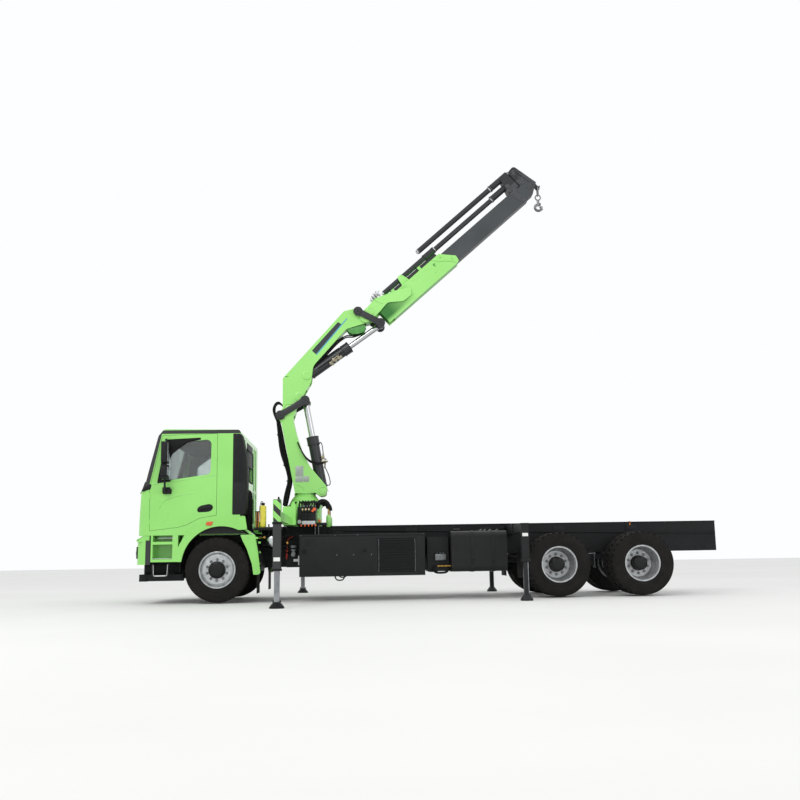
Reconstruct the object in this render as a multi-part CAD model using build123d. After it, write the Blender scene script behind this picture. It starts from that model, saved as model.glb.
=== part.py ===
from build123d import *
from math import atan2, cos, degrees, hypot, radians, sin
import os

# A three-axle flat-frame truck that carries a knuckle-boom crane behind its cab.
# Lengths are in millimetres. -X is the truck's front, +Z is up, the ground is Z = 0.
# While it is built, X is measured from the front axle; save() then moves each piece so
# that the origin is under the middle of the whole machine.

# Clearances and one overrun for cuts
FIT = 0.05          # radial running clearance of pins and shafts
SEAT = 0.3          # gap between curved pieces that sit on each other
SLIDE = 0.5         # gap all round a telescoping tube
CLEAR = 6.0         # gap between plates that swing past each other
SHUT = 5.0          # shut line round a door
OVERRUN = 20.0      # how far a cut runs past the solid it cuts

# Overall places along the truck, from the front axle
NOSE_REACH = 1333.0
TAIL_REACH = 8610.0
REAR_AXLE_1 = 5650.0
REAR_AXLE_2 = 7050.0
FRONT_AXLE_X = NOSE_REACH - (NOSE_REACH + TAIL_REACH) / 2
HALF_WIDTH = 1250.0


def save(name, *solids):
    """Write one sub-part, moved from the front axle's X to the machine's middle."""
    part = Compound([s for shape in solids for s in shape.solids()])
    export_step(part.moved(Location((FRONT_AXLE_X, 0, 0))), f"parts/{name}.step")


def block(x0, x1, y0, y1, z0, z1):
    """A box between three pairs of limits."""
    middle = ((x0 + x1) / 2, (y0 + y1) / 2, (z0 + z1) / 2)
    return Pos(*middle) * Box(abs(x1 - x0), abs(y1 - y0), abs(z1 - z0))


def pin_y(x, z, r, y0, y1):
    """A round bar along Y."""
    return Pos(x, (y0 + y1) / 2, z) * Rot(90, 0, 0) * Cylinder(r, abs(y1 - y0))


def pin_z(x, y, r, z0, z1):
    """A round bar along Z."""
    return Pos(x, y, (z0 + z1) / 2) * Cylinder(r, abs(z1 - z0))


def pin_x(y, z, r, x0, x1):
    """A round bar along X."""
    return Pos((x0 + x1) / 2, y, z) * Rot(0, 90, 0) * Cylinder(r, abs(x1 - x0))


def outline(corners, y):
    """A closed face at Y = y from rows of x, z and corner radius."""
    starts, arcs = [], []
    for i, (x, z, r) in enumerate(corners):
        (px, pz, _), (nx, nz, _) = corners[i - 1], corners[(i + 1) % len(corners)]
        to_last, to_next = hypot(px - x, pz - z), hypot(nx - x, nz - z)
        a = ((px - x) / to_last, (pz - z) / to_last)
        b = ((nx - x) / to_next, (nz - z) / to_next)
        half = (atan2(a[0] * b[1] - a[1] * b[0], a[0] * b[0] + a[1] * b[1])) / 2
        if r <= 0 or abs(abs(half) - radians(90)) < radians(1):
            starts.append((x, z))
            arcs.append((x, z, None))
            continue
        back = r / abs(sin(half) / cos(half))
        p, q = (x + a[0] * back, z + a[1] * back), (x + b[0] * back, z + b[1] * back)
        reach = r / abs(sin(half)) - r
        mid = (a[0] + b[0], a[1] + b[1])
        size = hypot(*mid)
        starts.append(p)
        arcs.append((*q, (x + mid[0] / size * reach, z + mid[1] / size * reach)))
    edges = []
    for i, (x, z) in enumerate(starts):
        qx, qz, bulge = arcs[i]
        if bulge:
            edges.append(ThreePointArc((x, y, z), (bulge[0], y, bulge[1]), (qx, y, qz)))
        sx, sz = starts[(i + 1) % len(starts)]
        if hypot(sx - qx, sz - qz) > SEAT / 10:
            edges.append(Line((qx, y, qz), (sx, y, sz)))
    return Face(Wire(edges))


def slab(corners, y0, y1):
    """An outline in the X-Z plane, extruded from y0 to y1."""
    low, high = min(y0, y1), max(y0, y1)
    return extrude(outline(corners, low), amount=high - low, dir=(0, 1, 0))


def from_shares(shares, x, z, length, height):
    """Rows of x, z and radius shares about a point, turned into millimetres."""
    return [(x + a * length, z + b * height, c * height) for a, b, c in shares]


def turned(profile):
    """Revolve rows of radius and y about the wheel axis Y through the origin."""
    points = [(r, y, 0) for r, y in profile]
    return revolve(Face(Wire.make_polygon(points, close=True)), axis=Axis.Y)


def aimed(shape, start, angle):
    """Take a shape built along +X from the origin to start, raised by angle."""
    return Pos(start[0], 0, start[1]) * Rot(0, -angle, 0) * shape


# Wheels: 12R22.5 tyres on steel disc wheels
TYRE_R = 542.5
TYRE_HALF = 150.0
BEAD_R = 286.0
BEAD_HALF = 113.0
RIM_WALL = 9.0
FLANGE_R = 298.0
FLANGE = 12.0
DISC = 14.0
DRUM_R = 212.0
HUB_R = 112.0
SPINDLE_R = 45.0
WHEEL_Z = TYRE_R
TRACK_HALF = HALF_WIDTH - TYRE_HALF      # middle of every outer tyre
DUAL_SPACING = 340.0
TREAD_SHARES = (                         # share of TYRE_R, share of TYRE_HALF
    (0.557, 0.755),
    (0.610, 0.920),
    (0.760, 1.000),
    (0.925, 0.965),
    (1.000, 0.830),
)


def tyre(y):
    """One tyre about Y = y, its bore seated on the rim."""
    half = [(r * TYRE_R, s * TYRE_HALF) for r, s in TREAD_SHARES]
    bead = [(BEAD_R + SEAT, BEAD_HALF)]
    side = bead + half
    profile = side + [(r, -w) for r, w in reversed(side)]
    return Pos(0, y, 0) * turned(profile)


def rim_barrel(y):
    """The wheel's barrel with a flange at each edge."""
    edge = BEAD_HALF + SEAT
    end = edge + FLANGE
    inner = BEAD_R - RIM_WALL
    profile = [
        (inner, -end), (FLANGE_R, -end), (FLANGE_R, -edge), (BEAD_R, -edge),
        (BEAD_R, edge), (FLANGE_R, edge), (FLANGE_R, end), (inner, end),
    ]
    return Pos(0, y, 0) * turned(profile)


def cone_disc(r0, y0, r1, y1):
    """A disc wheel's dished plate, from radius r0 at y0 out to r1 at y1."""
    return turned([(r0, y0), (r1, y1), (r1, y1 + DISC), (r0, y0 + DISC)])


# Front axle: kingpins, knuckles and the hub of each steered wheel
KINGPIN_Y = 925.0
KINGPIN_R = 22.0
KINGPIN_BOSS_R = 45.0
KINGPIN_BOSS_HALF = 75.0
EAR = 30.0
KNUCKLE_WEB = 22.0
FRONT_FACE_Y = TRACK_HALF + BEAD_HALF    # where the front disc bolts to its hub
SPINDLE_END_Y = FRONT_FACE_Y + DISC
AXLE_DROP = 130.0
AXLE_DEPTH = 100.0
AXLE_WIDTH = 110.0


def front_wheel(side):
    """Disc wheel, brake drum and hub that turn on one knuckle."""
    hub_bore = SPINDLE_R + FIT
    drum_y = KINGPIN_Y + KINGPIN_BOSS_R + CLEAR + KNUCKLE_WEB + CLEAR
    plate_r = DRUM_R + DISC
    hub = turned([
        (hub_bore, drum_y), (HUB_R, drum_y), (HUB_R, FRONT_FACE_Y + 2 * DISC),
        (HUB_R - DISC, FRONT_FACE_Y + 3 * DISC), (hub_bore, FRONT_FACE_Y + 3 * DISC),
    ])
    drum = turned([
        (HUB_R - SEAT, drum_y), (DRUM_R, drum_y), (DRUM_R, FRONT_FACE_Y - 2 * DISC),
        (HUB_R - SEAT, FRONT_FACE_Y - 2 * DISC),
    ])
    face = cone_disc(HUB_R - SEAT, FRONT_FACE_Y, plate_r, FRONT_FACE_Y)
    slope = cone_disc(plate_r - SEAT, FRONT_FACE_Y, BEAD_R - SEAT, FRONT_FACE_Y - 3 * DISC)
    wheel = rim_barrel(TRACK_HALF) + hub + drum + face + slope
    return place_wheel(wheel, 0, side)


def place_wheel(wheel, x, side):
    """A wheel made on the +Y side, moved to its axle and mirrored if it is the other side."""
    if side < 0:
        wheel = mirror(wheel, Plane.XZ)
    return Pos(x, 0, WHEEL_Z) * wheel


def rear_wheel(x, side):
    """Two rims bolted back to back, with their hub and drum."""
    inner_y = TRACK_HALF - DUAL_SPACING
    mate_y = (TRACK_HALF + inner_y) / 2
    hub_bore = SPINDLE_R + FIT
    plate_r = DRUM_R + DISC
    hub = turned([
        (hub_bore, inner_y - BEAD_HALF), (HUB_R, inner_y - BEAD_HALF),
        (HUB_R, TRACK_HALF - DISC), (HUB_R - 2 * DISC, TRACK_HALF + DISC),
        (hub_bore, TRACK_HALF + DISC),
    ])
    drum = turned([
        (HUB_R - SEAT, inner_y - BEAD_HALF), (DRUM_R, inner_y - BEAD_HALF),
        (DRUM_R, inner_y + BEAD_HALF / 2), (HUB_R - SEAT, inner_y + BEAD_HALF / 2),
    ])
    plates = turned([
        (HUB_R - SEAT, mate_y - DISC), (plate_r, mate_y - DISC), (plate_r, mate_y + DISC),
        (HUB_R - SEAT, mate_y + DISC),
    ])
    outer = cone_disc(plate_r - SEAT, mate_y, BEAD_R - SEAT, mate_y + 5 * DISC)
    inner = cone_disc(plate_r - SEAT, mate_y - DISC, BEAD_R - SEAT, mate_y - 6 * DISC)
    wheel = rim_barrel(TRACK_HALF) + rim_barrel(inner_y) + hub + drum + plates + outer + inner
    return place_wheel(wheel, x, side)


def knuckle(side):
    """Fork on the kingpin, with the spindle that carries the wheel."""
    web_in = KINGPIN_Y + KINGPIN_BOSS_R + CLEAR
    web_out = web_in + KNUCKLE_WEB
    top = KINGPIN_BOSS_HALF + SLIDE
    body = pin_y(0, 0, DRUM_R / 2, web_in, web_out)
    for low in (top, -top - EAR):
        body += block(-KINGPIN_BOSS_R, KINGPIN_BOSS_R, KINGPIN_Y, web_out, low, low + EAR)
        body += pin_z(0, KINGPIN_Y, KINGPIN_BOSS_R, low, low + EAR)
    body += pin_z(0, KINGPIN_Y, KINGPIN_R, -top - EAR, top + EAR)
    body += pin_y(0, 0, SPINDLE_R, web_in, SPINDLE_END_Y)
    return place_wheel(body, 0, side)


def front_axle():
    """Dropped beam with a bored boss for each kingpin, and the springs' seats."""
    beam = block(-AXLE_WIDTH / 2, AXLE_WIDTH / 2, -KINGPIN_Y, KINGPIN_Y,
                 WHEEL_Z - AXLE_DROP - AXLE_DEPTH, WHEEL_Z - AXLE_DROP)
    rise = AXLE_DROP + AXLE_DEPTH
    low = WHEEL_Z - rise
    for side in (-1, 1):
        y = side * KINGPIN_Y
        edge = side * (KINGPIN_Y - 3 * KINGPIN_BOSS_R)
        beam -= block(-AXLE_WIDTH, AXLE_WIDTH, edge, y + side * OVERRUN, low - OVERRUN, WHEEL_Z)
        beam += block(-KINGPIN_BOSS_R, KINGPIN_BOSS_R, edge - side * AXLE_WIDTH, y,
                      WHEEL_Z - KINGPIN_BOSS_HALF, WHEEL_Z + KINGPIN_BOSS_HALF)
        beam += block(-AXLE_WIDTH / 2, AXLE_WIDTH / 2, edge - side * AXLE_WIDTH, edge,
                      low, WHEEL_Z + KINGPIN_BOSS_HALF)
        beam += pin_z(0, y, KINGPIN_BOSS_R, WHEEL_Z - KINGPIN_BOSS_HALF,
                      WHEEL_Z + KINGPIN_BOSS_HALF)
        beam -= pin_z(0, y, KINGPIN_R + FIT, low - OVERRUN, WHEEL_Z + 2 * KINGPIN_BOSS_HALF)
        beam += block(-AXLE_WIDTH / 2, AXLE_WIDTH / 2, side * (RAIL_Y + CLEAR),
                      side * (RAIL_Y + CLEAR + SPRING_WIDTH), WHEEL_Z - AXLE_DROP,
                      FRONT_SPRING_TOP - SPRING_LEAVES * SPRING_LEAF - SEAT)
    return beam


# Frame, subframe and axles
RAIL_Y = 430.0
RAIL_LOW = 736.0
RAIL_TOP = 1036.0
RAIL_FLANGE = 80.0
RAIL_WALL = 9.0
RAIL_FRONT = -1150.0
CROSS_TUBE_R = 55.0
CROSS_PLACES = (-950.0, 900.0, 2300.0, 3700.0, 5100.0, 6350.0, 7750.0, 8480.0)
SUBFRAME_TOP = 1255.0
SUBFRAME_WIDTH = 85.0
SUBFRAME_FRONT = 640.0
DECK_FRONT = 1760.0      # where the load deck begins, behind the crane
DECK_STEP = 6.0          # depth of the drain notch across each bearer there
SPRING_WIDTH = 90.0
SPRING_LEAF = 14.0
SPRING_LEAVES = 6
SPRING_HALF_LENGTH = 620.0
FRONT_SPRING_TOP = 570.0
SPRING_SEAT_HALF = 40.0
SPRING_Y = RAIL_Y + SPRING_WIDTH / 2 + CLEAR
AXLE_TUBE_R = 62.0
BANJO_R = 190.0
REAR_SPRING_TOP = 700.0
TRUNNION_X = (REAR_AXLE_1 + REAR_AXLE_2) / 2
TRUNNION_Z = 550.0
HANGER = 40.0
CAB_MOUNTS = (-1050.0, 270.0)
BANJO_HALF = 120.0
UNDERRUN_LOW = 370.0
UNDERRUN_TOP = 485.0
UNDERRUN_FRONT = -1300.0
UNDERRUN_REAR = -1180.0
UNDERRUN_HALF = 1050.0


def frame_rails():
    """Two open C rails joined by tubes, with the front underrun bar on brackets."""
    rails = None
    for side in (-1, 1):
        web = side * RAIL_Y
        inner = side * (RAIL_Y - RAIL_FLANGE)
        rail = block(RAIL_FRONT, TAIL_REACH, web, inner, RAIL_LOW, RAIL_TOP)
        hollow_y = web - side * RAIL_WALL
        rail -= block(RAIL_FRONT - OVERRUN, TAIL_REACH + OVERRUN, hollow_y,
                      inner - side * OVERRUN, RAIL_LOW + RAIL_WALL, RAIL_TOP - RAIL_WALL)
        rail += block(RAIL_FRONT, RAIL_FRONT + RAIL_FLANGE, web, inner, UNDERRUN_TOP, RAIL_LOW)
        rail += block(UNDERRUN_FRONT, RAIL_FRONT + RAIL_FLANGE, web, inner,
                      UNDERRUN_LOW, UNDERRUN_TOP)
        rails = rail if rails is None else rails + rail
    middle = (RAIL_LOW + RAIL_TOP) / 2
    for x in CROSS_PLACES:
        rails += pin_y(x, middle, CROSS_TUBE_R, -RAIL_Y + RAIL_WALL / 2, RAIL_Y - RAIL_WALL / 2)
    rails += block(UNDERRUN_FRONT, UNDERRUN_REAR, -UNDERRUN_HALF, UNDERRUN_HALF,
                   UNDERRUN_LOW, UNDERRUN_TOP)
    spring_edge = RAIL_Y + CLEAR + SPRING_WIDTH
    rails += pin_y(TRUNNION_X, TRUNNION_Z, AXLE_TUBE_R - SLIDE, -spring_edge, spring_edge)
    hangers = (
        (-SPRING_HALF_LENGTH, FRONT_SPRING_TOP), (SPRING_HALF_LENGTH, FRONT_SPRING_TOP),
        (TRUNNION_X, REAR_SPRING_TOP),
    )
    for side in (-1, 1):
        web = side * RAIL_Y
        for x, top in hangers:
            rails += block(x - HANGER, x + HANGER, web, side * spring_edge,
                           top + SEAT, RAIL_LOW + HANGER)
            rails += block(x - HANGER, x + HANGER, side * (RAIL_Y - RAIL_WALL), web,
                           RAIL_LOW, RAIL_LOW + HANGER)
        rails += block(TRUNNION_X - HANGER, TRUNNION_X + HANGER, side * (RAIL_Y - RAIL_FLANGE),
                       web, TRUNNION_Z, RAIL_LOW)
        for x in CAB_MOUNTS:
            rails += block(x - HANGER, x + HANGER, side * (RAIL_Y - RAIL_FLANGE), web,
                           RAIL_TOP, CAB_LOW - SEAT)
    return rails


def rear_axles():
    """Housing tube, banjo and spindles of each driven axle, as two solids."""
    tube_end = TRACK_HALF - DUAL_SPACING - BEAD_HALF - CLEAR
    axles = []
    for x in (REAR_AXLE_1, REAR_AXLE_2):
        axle = pin_y(x, WHEEL_Z, AXLE_TUBE_R, -tube_end, tube_end)
        axle += pin_y(x, WHEEL_Z, SPINDLE_R, -TRACK_HALF, TRACK_HALF)
        axle += pin_x(0, WHEEL_Z, BANJO_R, x - BANJO_HALF, x + BANJO_HALF)
        for side in (-1, 1):
            seat = side * SPRING_Y
            axle += block(x - SPRING_SEAT_HALF, x + SPRING_SEAT_HALF, seat - SPRING_WIDTH / 2,
                          seat + SPRING_WIDTH / 2, WHEEL_Z, REAR_SPRING_TOP - SPRING_LEAF - SEAT)
        axles.append(axle)
    return axles


def leaf_spring(x, half_length, z):
    """A stack of leaves, each shorter than the one above, with top face at z."""
    stack = []
    for side in (-1, 1):
        y0, y1 = side * RAIL_Y + side * CLEAR, side * (RAIL_Y + CLEAR + SPRING_WIDTH)
        leaves = None
        for i in range(SPRING_LEAVES):
            reach = half_length * (1 - i / (SPRING_LEAVES + 1))
            top = z - i * SPRING_LEAF
            leaf = block(x - reach, x + reach, y0, y1, top - SPRING_LEAF, top)
            leaves = leaf if leaves is None else leaves + leaf
        stack.append(leaves)
    return stack


# Slewing base, outriggers and control stand
SLEW_X = 1362.0
BEAM_X = 1135.0
BEAM_HALF_WIDTH = 55.0
BEAM_HEIGHT = 130.0
LEFT_BEAM_LOW = 1262.0
BEAM_STEP = 142.0
TUNNEL_WALL = 16.0
TUNNEL_HALF = 1240.0
FRONT_LEG_Y = 2990.0
FRONT_STROKE = 1660.0
FRONT_GRIP = 440.0
LEG_OUTER = 118.0
LEG_INNER = 78.0
FRONT_LEG_TOP = 1563.0
FRONT_LEG_COLLAR = 533.0
FRONT_LEG_STROKE = 420.0
FRONT_LEG_GRIP = 350.0
REAR_LEG_STROKE = 350.0
REAR_LEG_GRIP = 200.0
LEG_CAP = 30.0
FOOT_R = 108.0
FOOT_RIM = 22.0
FOOT_HEIGHT = 90.0
FOOT_TOP_R = 52.0
REAR_BEAM_X = 4948.0
REAR_BEAM_LOW = 1072.0
REAR_BEAM_HALF_WIDTH = 50.0
REAR_LEG_Y = 2005.0
REAR_STROKE = 680.0
REAR_GRIP = 350.0
REAR_TUNNEL_HALF = 1200.0
REAR_LEG_TOP = 1206.0
REAR_LEG_COLLAR = 618.0
REAR_FOOT_R = 100.0
BASE_TOP = 1845.0
BASE_R = 170.0
BASE_SHOULDER = 1600.0
STUB_R = 120.0
STUB_DEPTH = 150.0
PEDESTAL_REAR = 1620.0
PEDESTAL_HALF = 330.0
SKIRT_R = 300.0
SKIRT_LOW = 1620.0
SKIRT_TOP = 1700.0
SKIRT_EDGE = 40.0
RACK_R = 75.0
RACK_HALF = 640.0
RACK_Z = 1500.0


def beam_piece(side, x, half_width, low, leg_y, grip, tunnel, top, collar):
    """One outrigger beam with the fixed outer tube of its leg at the tip."""
    inner_end = side * (tunnel - grip)
    tip = side * (leg_y - LEG_OUTER / 2)
    beam = block(x - half_width, x + half_width, inner_end, tip, low, low + BEAM_HEIGHT)
    y = side * leg_y
    tube = block(x - LEG_OUTER / 2, x + LEG_OUTER / 2, y - LEG_OUTER / 2, y + LEG_OUTER / 2,
                 collar, top)
    bore = LEG_INNER / 2 + SLIDE
    tube -= block(x - bore, x + bore, y - bore, y + bore, collar - OVERRUN, top - LEG_CAP)
    return beam + tube


def leg_piece(side, x, leg_y, top, foot_r):
    """Inner tube of an outrigger leg on its round foot, which stands on the ground."""
    y = side * leg_y
    half = LEG_INNER / 2
    tube = block(x - half, x + half, y - half, y + half, FOOT_HEIGHT / 2, top)
    rows = [(0, 0), (foot_r, 0), (foot_r, FOOT_RIM), (FOOT_TOP_R, FOOT_HEIGHT), (0, FOOT_HEIGHT)]
    face = Face(Wire.make_polygon([(r, 0, z) for r, z in rows], close=True))
    foot = revolve(face, axis=Axis.Z)
    return tube + Pos(x, y, 0) * foot


def crane_base():
    """Cross box with a tunnel for each front beam, pedestal, slew ring housing and racks."""
    half = BEAM_HALF_WIDTH + TUNNEL_WALL
    top = LEFT_BEAM_LOW + BEAM_STEP + BEAM_HEIGHT + TUNNEL_WALL
    box = block(BEAM_X - half, BEAM_X + half, -TUNNEL_HALF, TUNNEL_HALF, SUBFRAME_TOP, top)
    rows = [
        (BEAM_X + half, SUBFRAME_TOP, 0), (PEDESTAL_REAR, SUBFRAME_TOP, 0),
        (PEDESTAL_REAR, RACK_Z, 0), (SLEW_X + BASE_R, BASE_SHOULDER, 0),
        (SLEW_X - BASE_R, BASE_SHOULDER, 0), (BEAM_X + half, top, 0),
    ]
    pedestal = slab(rows, -PEDESTAL_HALF, PEDESTAL_HALF)
    skirt = [(0, SUBFRAME_TOP), (SKIRT_R, SUBFRAME_TOP), (SKIRT_R, SKIRT_LOW),
             (SKIRT_R * 4 / 5, SKIRT_TOP), (BASE_R, SKIRT_TOP + BASE_TOP - COLUMN_FOOT + SKIRT_EDGE),
             (0, SKIRT_TOP + SKIRT_EDGE)]
    dome = revolve(Face(Wire.make_polygon([(r, 0, z) for r, z in skirt], close=True)),
                   axis=Axis.Z)
    base = box + pedestal + pin_z(SLEW_X, 0, BASE_R, SUBFRAME_TOP, BASE_TOP)
    base += Pos(SLEW_X, 0, 0) * dome
    base += pin_y(PEDESTAL_REAR - RACK_R, RACK_Z - RACK_R, RACK_R, -RACK_HALF, RACK_HALF)
    base -= pin_z(SLEW_X, 0, STUB_R + FIT, BASE_TOP - STUB_DEPTH - CLEAR, BASE_TOP + OVERRUN)
    wide = BEAM_HALF_WIDTH + SLIDE
    for i in (0, 1):
        low = LEFT_BEAM_LOW + i * BEAM_STEP - SLIDE
        base -= block(BEAM_X - wide, BEAM_X + wide, -TUNNEL_HALF - OVERRUN,
                      TUNNEL_HALF + OVERRUN, low, low + BEAM_HEIGHT + 2 * SLIDE)
    return base


CONTROL_X0 = 1290.0
CONTROL_X1 = 1600.0
CONTROL_Y0 = 700.0
CONTROL_Y1 = 1000.0
CONTROL_TOP = 1652.0
VALVE_TOP = 1560.0
LEVER_R = 7.0
LEVER_LENGTH = 120.0
LEVER_COUNT = 6


def control_stand():
    """Valve block with a row of levers on each side of the truck, on a bracket."""
    stands = []
    for side in (-1, 1):
        y0, y1 = side * CONTROL_Y0, side * CONTROL_Y1
        stand = block(CONTROL_X0, CONTROL_X1, y0, y1, SUBFRAME_TOP, VALVE_TOP)
        pitch = (CONTROL_X1 - CONTROL_X0) / LEVER_COUNT
        for i in range(LEVER_COUNT):
            x = CONTROL_X0 + (i + 1 / 2) * pitch
            stand += pin_z(x, side * (CONTROL_Y0 + CONTROL_Y1) / 2, LEVER_R, VALVE_TOP,
                           VALVE_TOP + LEVER_LENGTH)
        stand += block(CONTROL_X0, CONTROL_X1, side * (RAIL_Y - SUBFRAME_WIDTH), y0,
                       SUBFRAME_TOP + SEAT, SUBFRAME_TOP + TUNNEL_WALL)
        stands.append(stand)
    return stands


def subframe():
    """Two longitudinal boxes on the rails, with the rear outriggers' cross box."""
    frame = None
    for side in (-1, 1):
        y0, y1 = side * RAIL_Y, side * (RAIL_Y - SUBFRAME_WIDTH)
        bar = block(SUBFRAME_FRONT, TAIL_REACH, y0, y1, RAIL_TOP, SUBFRAME_TOP)
        bar -= block(DECK_FRONT, DECK_FRONT + BRACKET, y0 + side * OVERRUN, y1 - side * OVERRUN,
                     SUBFRAME_TOP - DECK_STEP, SUBFRAME_TOP + OVERRUN)
        frame = bar if frame is None else frame + bar
    for x in CROSS_PLACES[1:]:
        frame += block(x - CROSS_TUBE_R, x + CROSS_TUBE_R, -RAIL_Y, RAIL_Y,
                       RAIL_TOP + TUNNEL_WALL, SUBFRAME_TOP - TUNNEL_WALL)
    half = REAR_BEAM_HALF_WIDTH + TUNNEL_WALL
    top = REAR_BEAM_LOW + BEAM_HEIGHT + TUNNEL_WALL
    frame += block(REAR_BEAM_X - half, REAR_BEAM_X + half, -REAR_TUNNEL_HALF, REAR_TUNNEL_HALF,
                   REAR_BEAM_LOW - TUNNEL_WALL, top)
    wide = REAR_BEAM_HALF_WIDTH + SLIDE
    frame -= block(REAR_BEAM_X - wide, REAR_BEAM_X + wide, -REAR_TUNNEL_HALF - OVERRUN,
                   REAR_TUNNEL_HALF + OVERRUN, REAR_BEAM_LOW - SLIDE,
                   REAR_BEAM_LOW + BEAM_HEIGHT + SLIDE)
    return frame


# Side equipment and engine
CABINET_X0 = 1338.0
CABINET_X1 = 3415.0
CABINET_LOW = 405.0
CABINET_TOP = 1085.0
CABINET_INNER = 640.0
CABINET_OUTER = 1200.0
BRACKET = 60.0
GRILLE_X0 = 2623.0
GRILLE_X1 = 3261.0
GRILLE_LOW = 464.0
GRILLE_TOP = 1013.0
GRILLE_DEPTH = 30.0
GRILLE_SLATS = 14
COVER_X0 = 3475.0
COVER_X1 = 3835.0
COVER_LOW = 458.0
COVER_TOP = 1031.0
COVER_OUTER = 900.0
TANK_X0 = 3857.0
TANK_X1 = 4788.0
TANK_LOW = 450.0
TANK_TOP = 1115.0
TANK_CORNER = 90.0
STRAP_PLACES = (4182.0, 4533.0)
STRAP_WIDTH = 50.0
STRAP = 6.0
ENGINE_X0 = -620.0
ENGINE_X1 = 560.0
ENGINE_HALF = 320.0
ENGINE_LOW = 600.0
ENGINE_TOP = 1090.0


def side_cabinets():
    """A closed cabinet on each side with a louvred vent, and a valve cover behind it."""
    boxes = []
    for side in (-1, 1):
        box = block(CABINET_X0, CABINET_X1, side * CABINET_INNER, side * CABINET_OUTER,
                    CABINET_LOW, CABINET_TOP)
        face = side * CABINET_OUTER
        box -= block(GRILLE_X0, GRILLE_X1, face + side * OVERRUN, face - side * GRILLE_DEPTH,
                     GRILLE_LOW, GRILLE_TOP)
        pitch = (GRILLE_TOP - GRILLE_LOW) / GRILLE_SLATS
        for i in range(GRILLE_SLATS):
            low = GRILLE_LOW + (i + 1 / 4) * pitch
            box += block(GRILLE_X0, GRILLE_X1, face, face - side * GRILLE_DEPTH,
                         low, low + pitch / 2)
        for x in (CABINET_X0 + 2 * BRACKET, CABINET_X1 - 3 * BRACKET):
            box += block(x, x + BRACKET, side * RAIL_Y, side * CABINET_INNER,
                         RAIL_LOW + BRACKET, CABINET_TOP - 2 * BRACKET)
        boxes.append(box)
        cover = block(COVER_X0, COVER_X1, side * RAIL_Y, side * COVER_OUTER,
                      COVER_LOW, COVER_TOP)
        boxes.append(cover)
    return boxes


def fuel_tanks():
    """A tank with rounded corners on each side, held by two straps on brackets."""
    tanks = []
    for side in (-1, 1):
        tank = block(TANK_X0, TANK_X1, side * CABINET_INNER, side * CABINET_OUTER,
                     TANK_LOW, TANK_TOP)
        tank = fillet(tank.edges().filter_by(Axis.X), TANK_CORNER)
        for x in STRAP_PLACES:
            band = block(x, x + STRAP_WIDTH, side * (CABINET_INNER - STRAP),
                         side * (CABINET_OUTER + STRAP), TANK_LOW - STRAP, TANK_TOP + STRAP)
            tank += fillet(band.edges().filter_by(Axis.X), TANK_CORNER)
            tank += block(x, x + STRAP_WIDTH, side * RAIL_Y, side * CABINET_INNER,
                          RAIL_LOW + BRACKET, RAIL_TOP - BRACKET)
        tanks.append(tank)
    return tanks


def engine():
    """The engine and gearbox as one block, its feet on the rails' lower flanges."""
    motor = block(ENGINE_X0, ENGINE_X1, -ENGINE_HALF, ENGINE_HALF, ENGINE_LOW, ENGINE_TOP)
    for x in (ENGINE_X0 + BRACKET, ENGINE_X1 - 2 * BRACKET):
        motor += block(x, x + BRACKET, -RAIL_Y + 2 * RAIL_WALL, RAIL_Y - 2 * RAIL_WALL,
                       RAIL_LOW + RAIL_WALL + SEAT, RAIL_LOW + BRACKET)
    return motor


# Cab: a hollow shell of one wall thickness, cut into its panels
CAB_FRONT = -1318.0
CAB_LOW = 1114.0
CAB_LENGTH = 1683.0
CAB_HEIGHT = 1756.0
CAB_WALL = 50.0
CAB_CORNER_R = 190.0
CAB_PROFILE_SHARES = (                   # x, z and corner radius
    (0.000, 0.000, 0.000),
    (0.028, 0.421, 0.034),
    (0.067, 0.468, 0.023),
    (0.188, 0.938, 0.034),
    (0.241, 1.000, 0.046),
    (0.985, 0.990, 0.028),
    (1.000, 0.960, 0.017),
    (1.000, 0.000, 0.000),
)
DOOR_SHARES = (
    (0.122, 0.042, 0.006),
    (0.113, 0.436, 0.011),
    (0.127, 0.499, 0.011),
    (0.228, 0.942, 0.017),
    (0.771, 0.957, 0.011),
    (0.771, 0.180, 0.006),
    (0.605, 0.154, 0.085),
    (0.486, 0.094, 0.114),
    (0.403, 0.072, 0.006),
)
DOOR_WINDOW_SHARES = (
    (0.224, 0.504, 0.028),
    (0.328, 0.870, 0.046),
    (0.712, 0.900, 0.046),
    (0.706, 0.569, 0.040),
)
ROOF_SPLIT_SHARE = 0.965
NOSE_TOP_SHARE = 0.430
NOSE_DEPTH_SHARE = 0.095
SCREEN_LOW_SHARE = 0.495
SCREEN_TOP_SHARE = 0.925
SCREEN_HALF = 1040.0
BACK_WINDOW_HALF = 420.0
BACK_WINDOW_LOW_SHARE = 0.560
BACK_WINDOW_TOP_SHARE = 0.840
GLASS = 6.0
DOOR_HINGE_X = -1140.0
MIRROR_Y = 1400.0


def cab_at(length_share, height_share):
    """A place in the cab's side view."""
    return CAB_FRONT + length_share * CAB_LENGTH, CAB_LOW + height_share * CAB_HEIGHT


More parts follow.
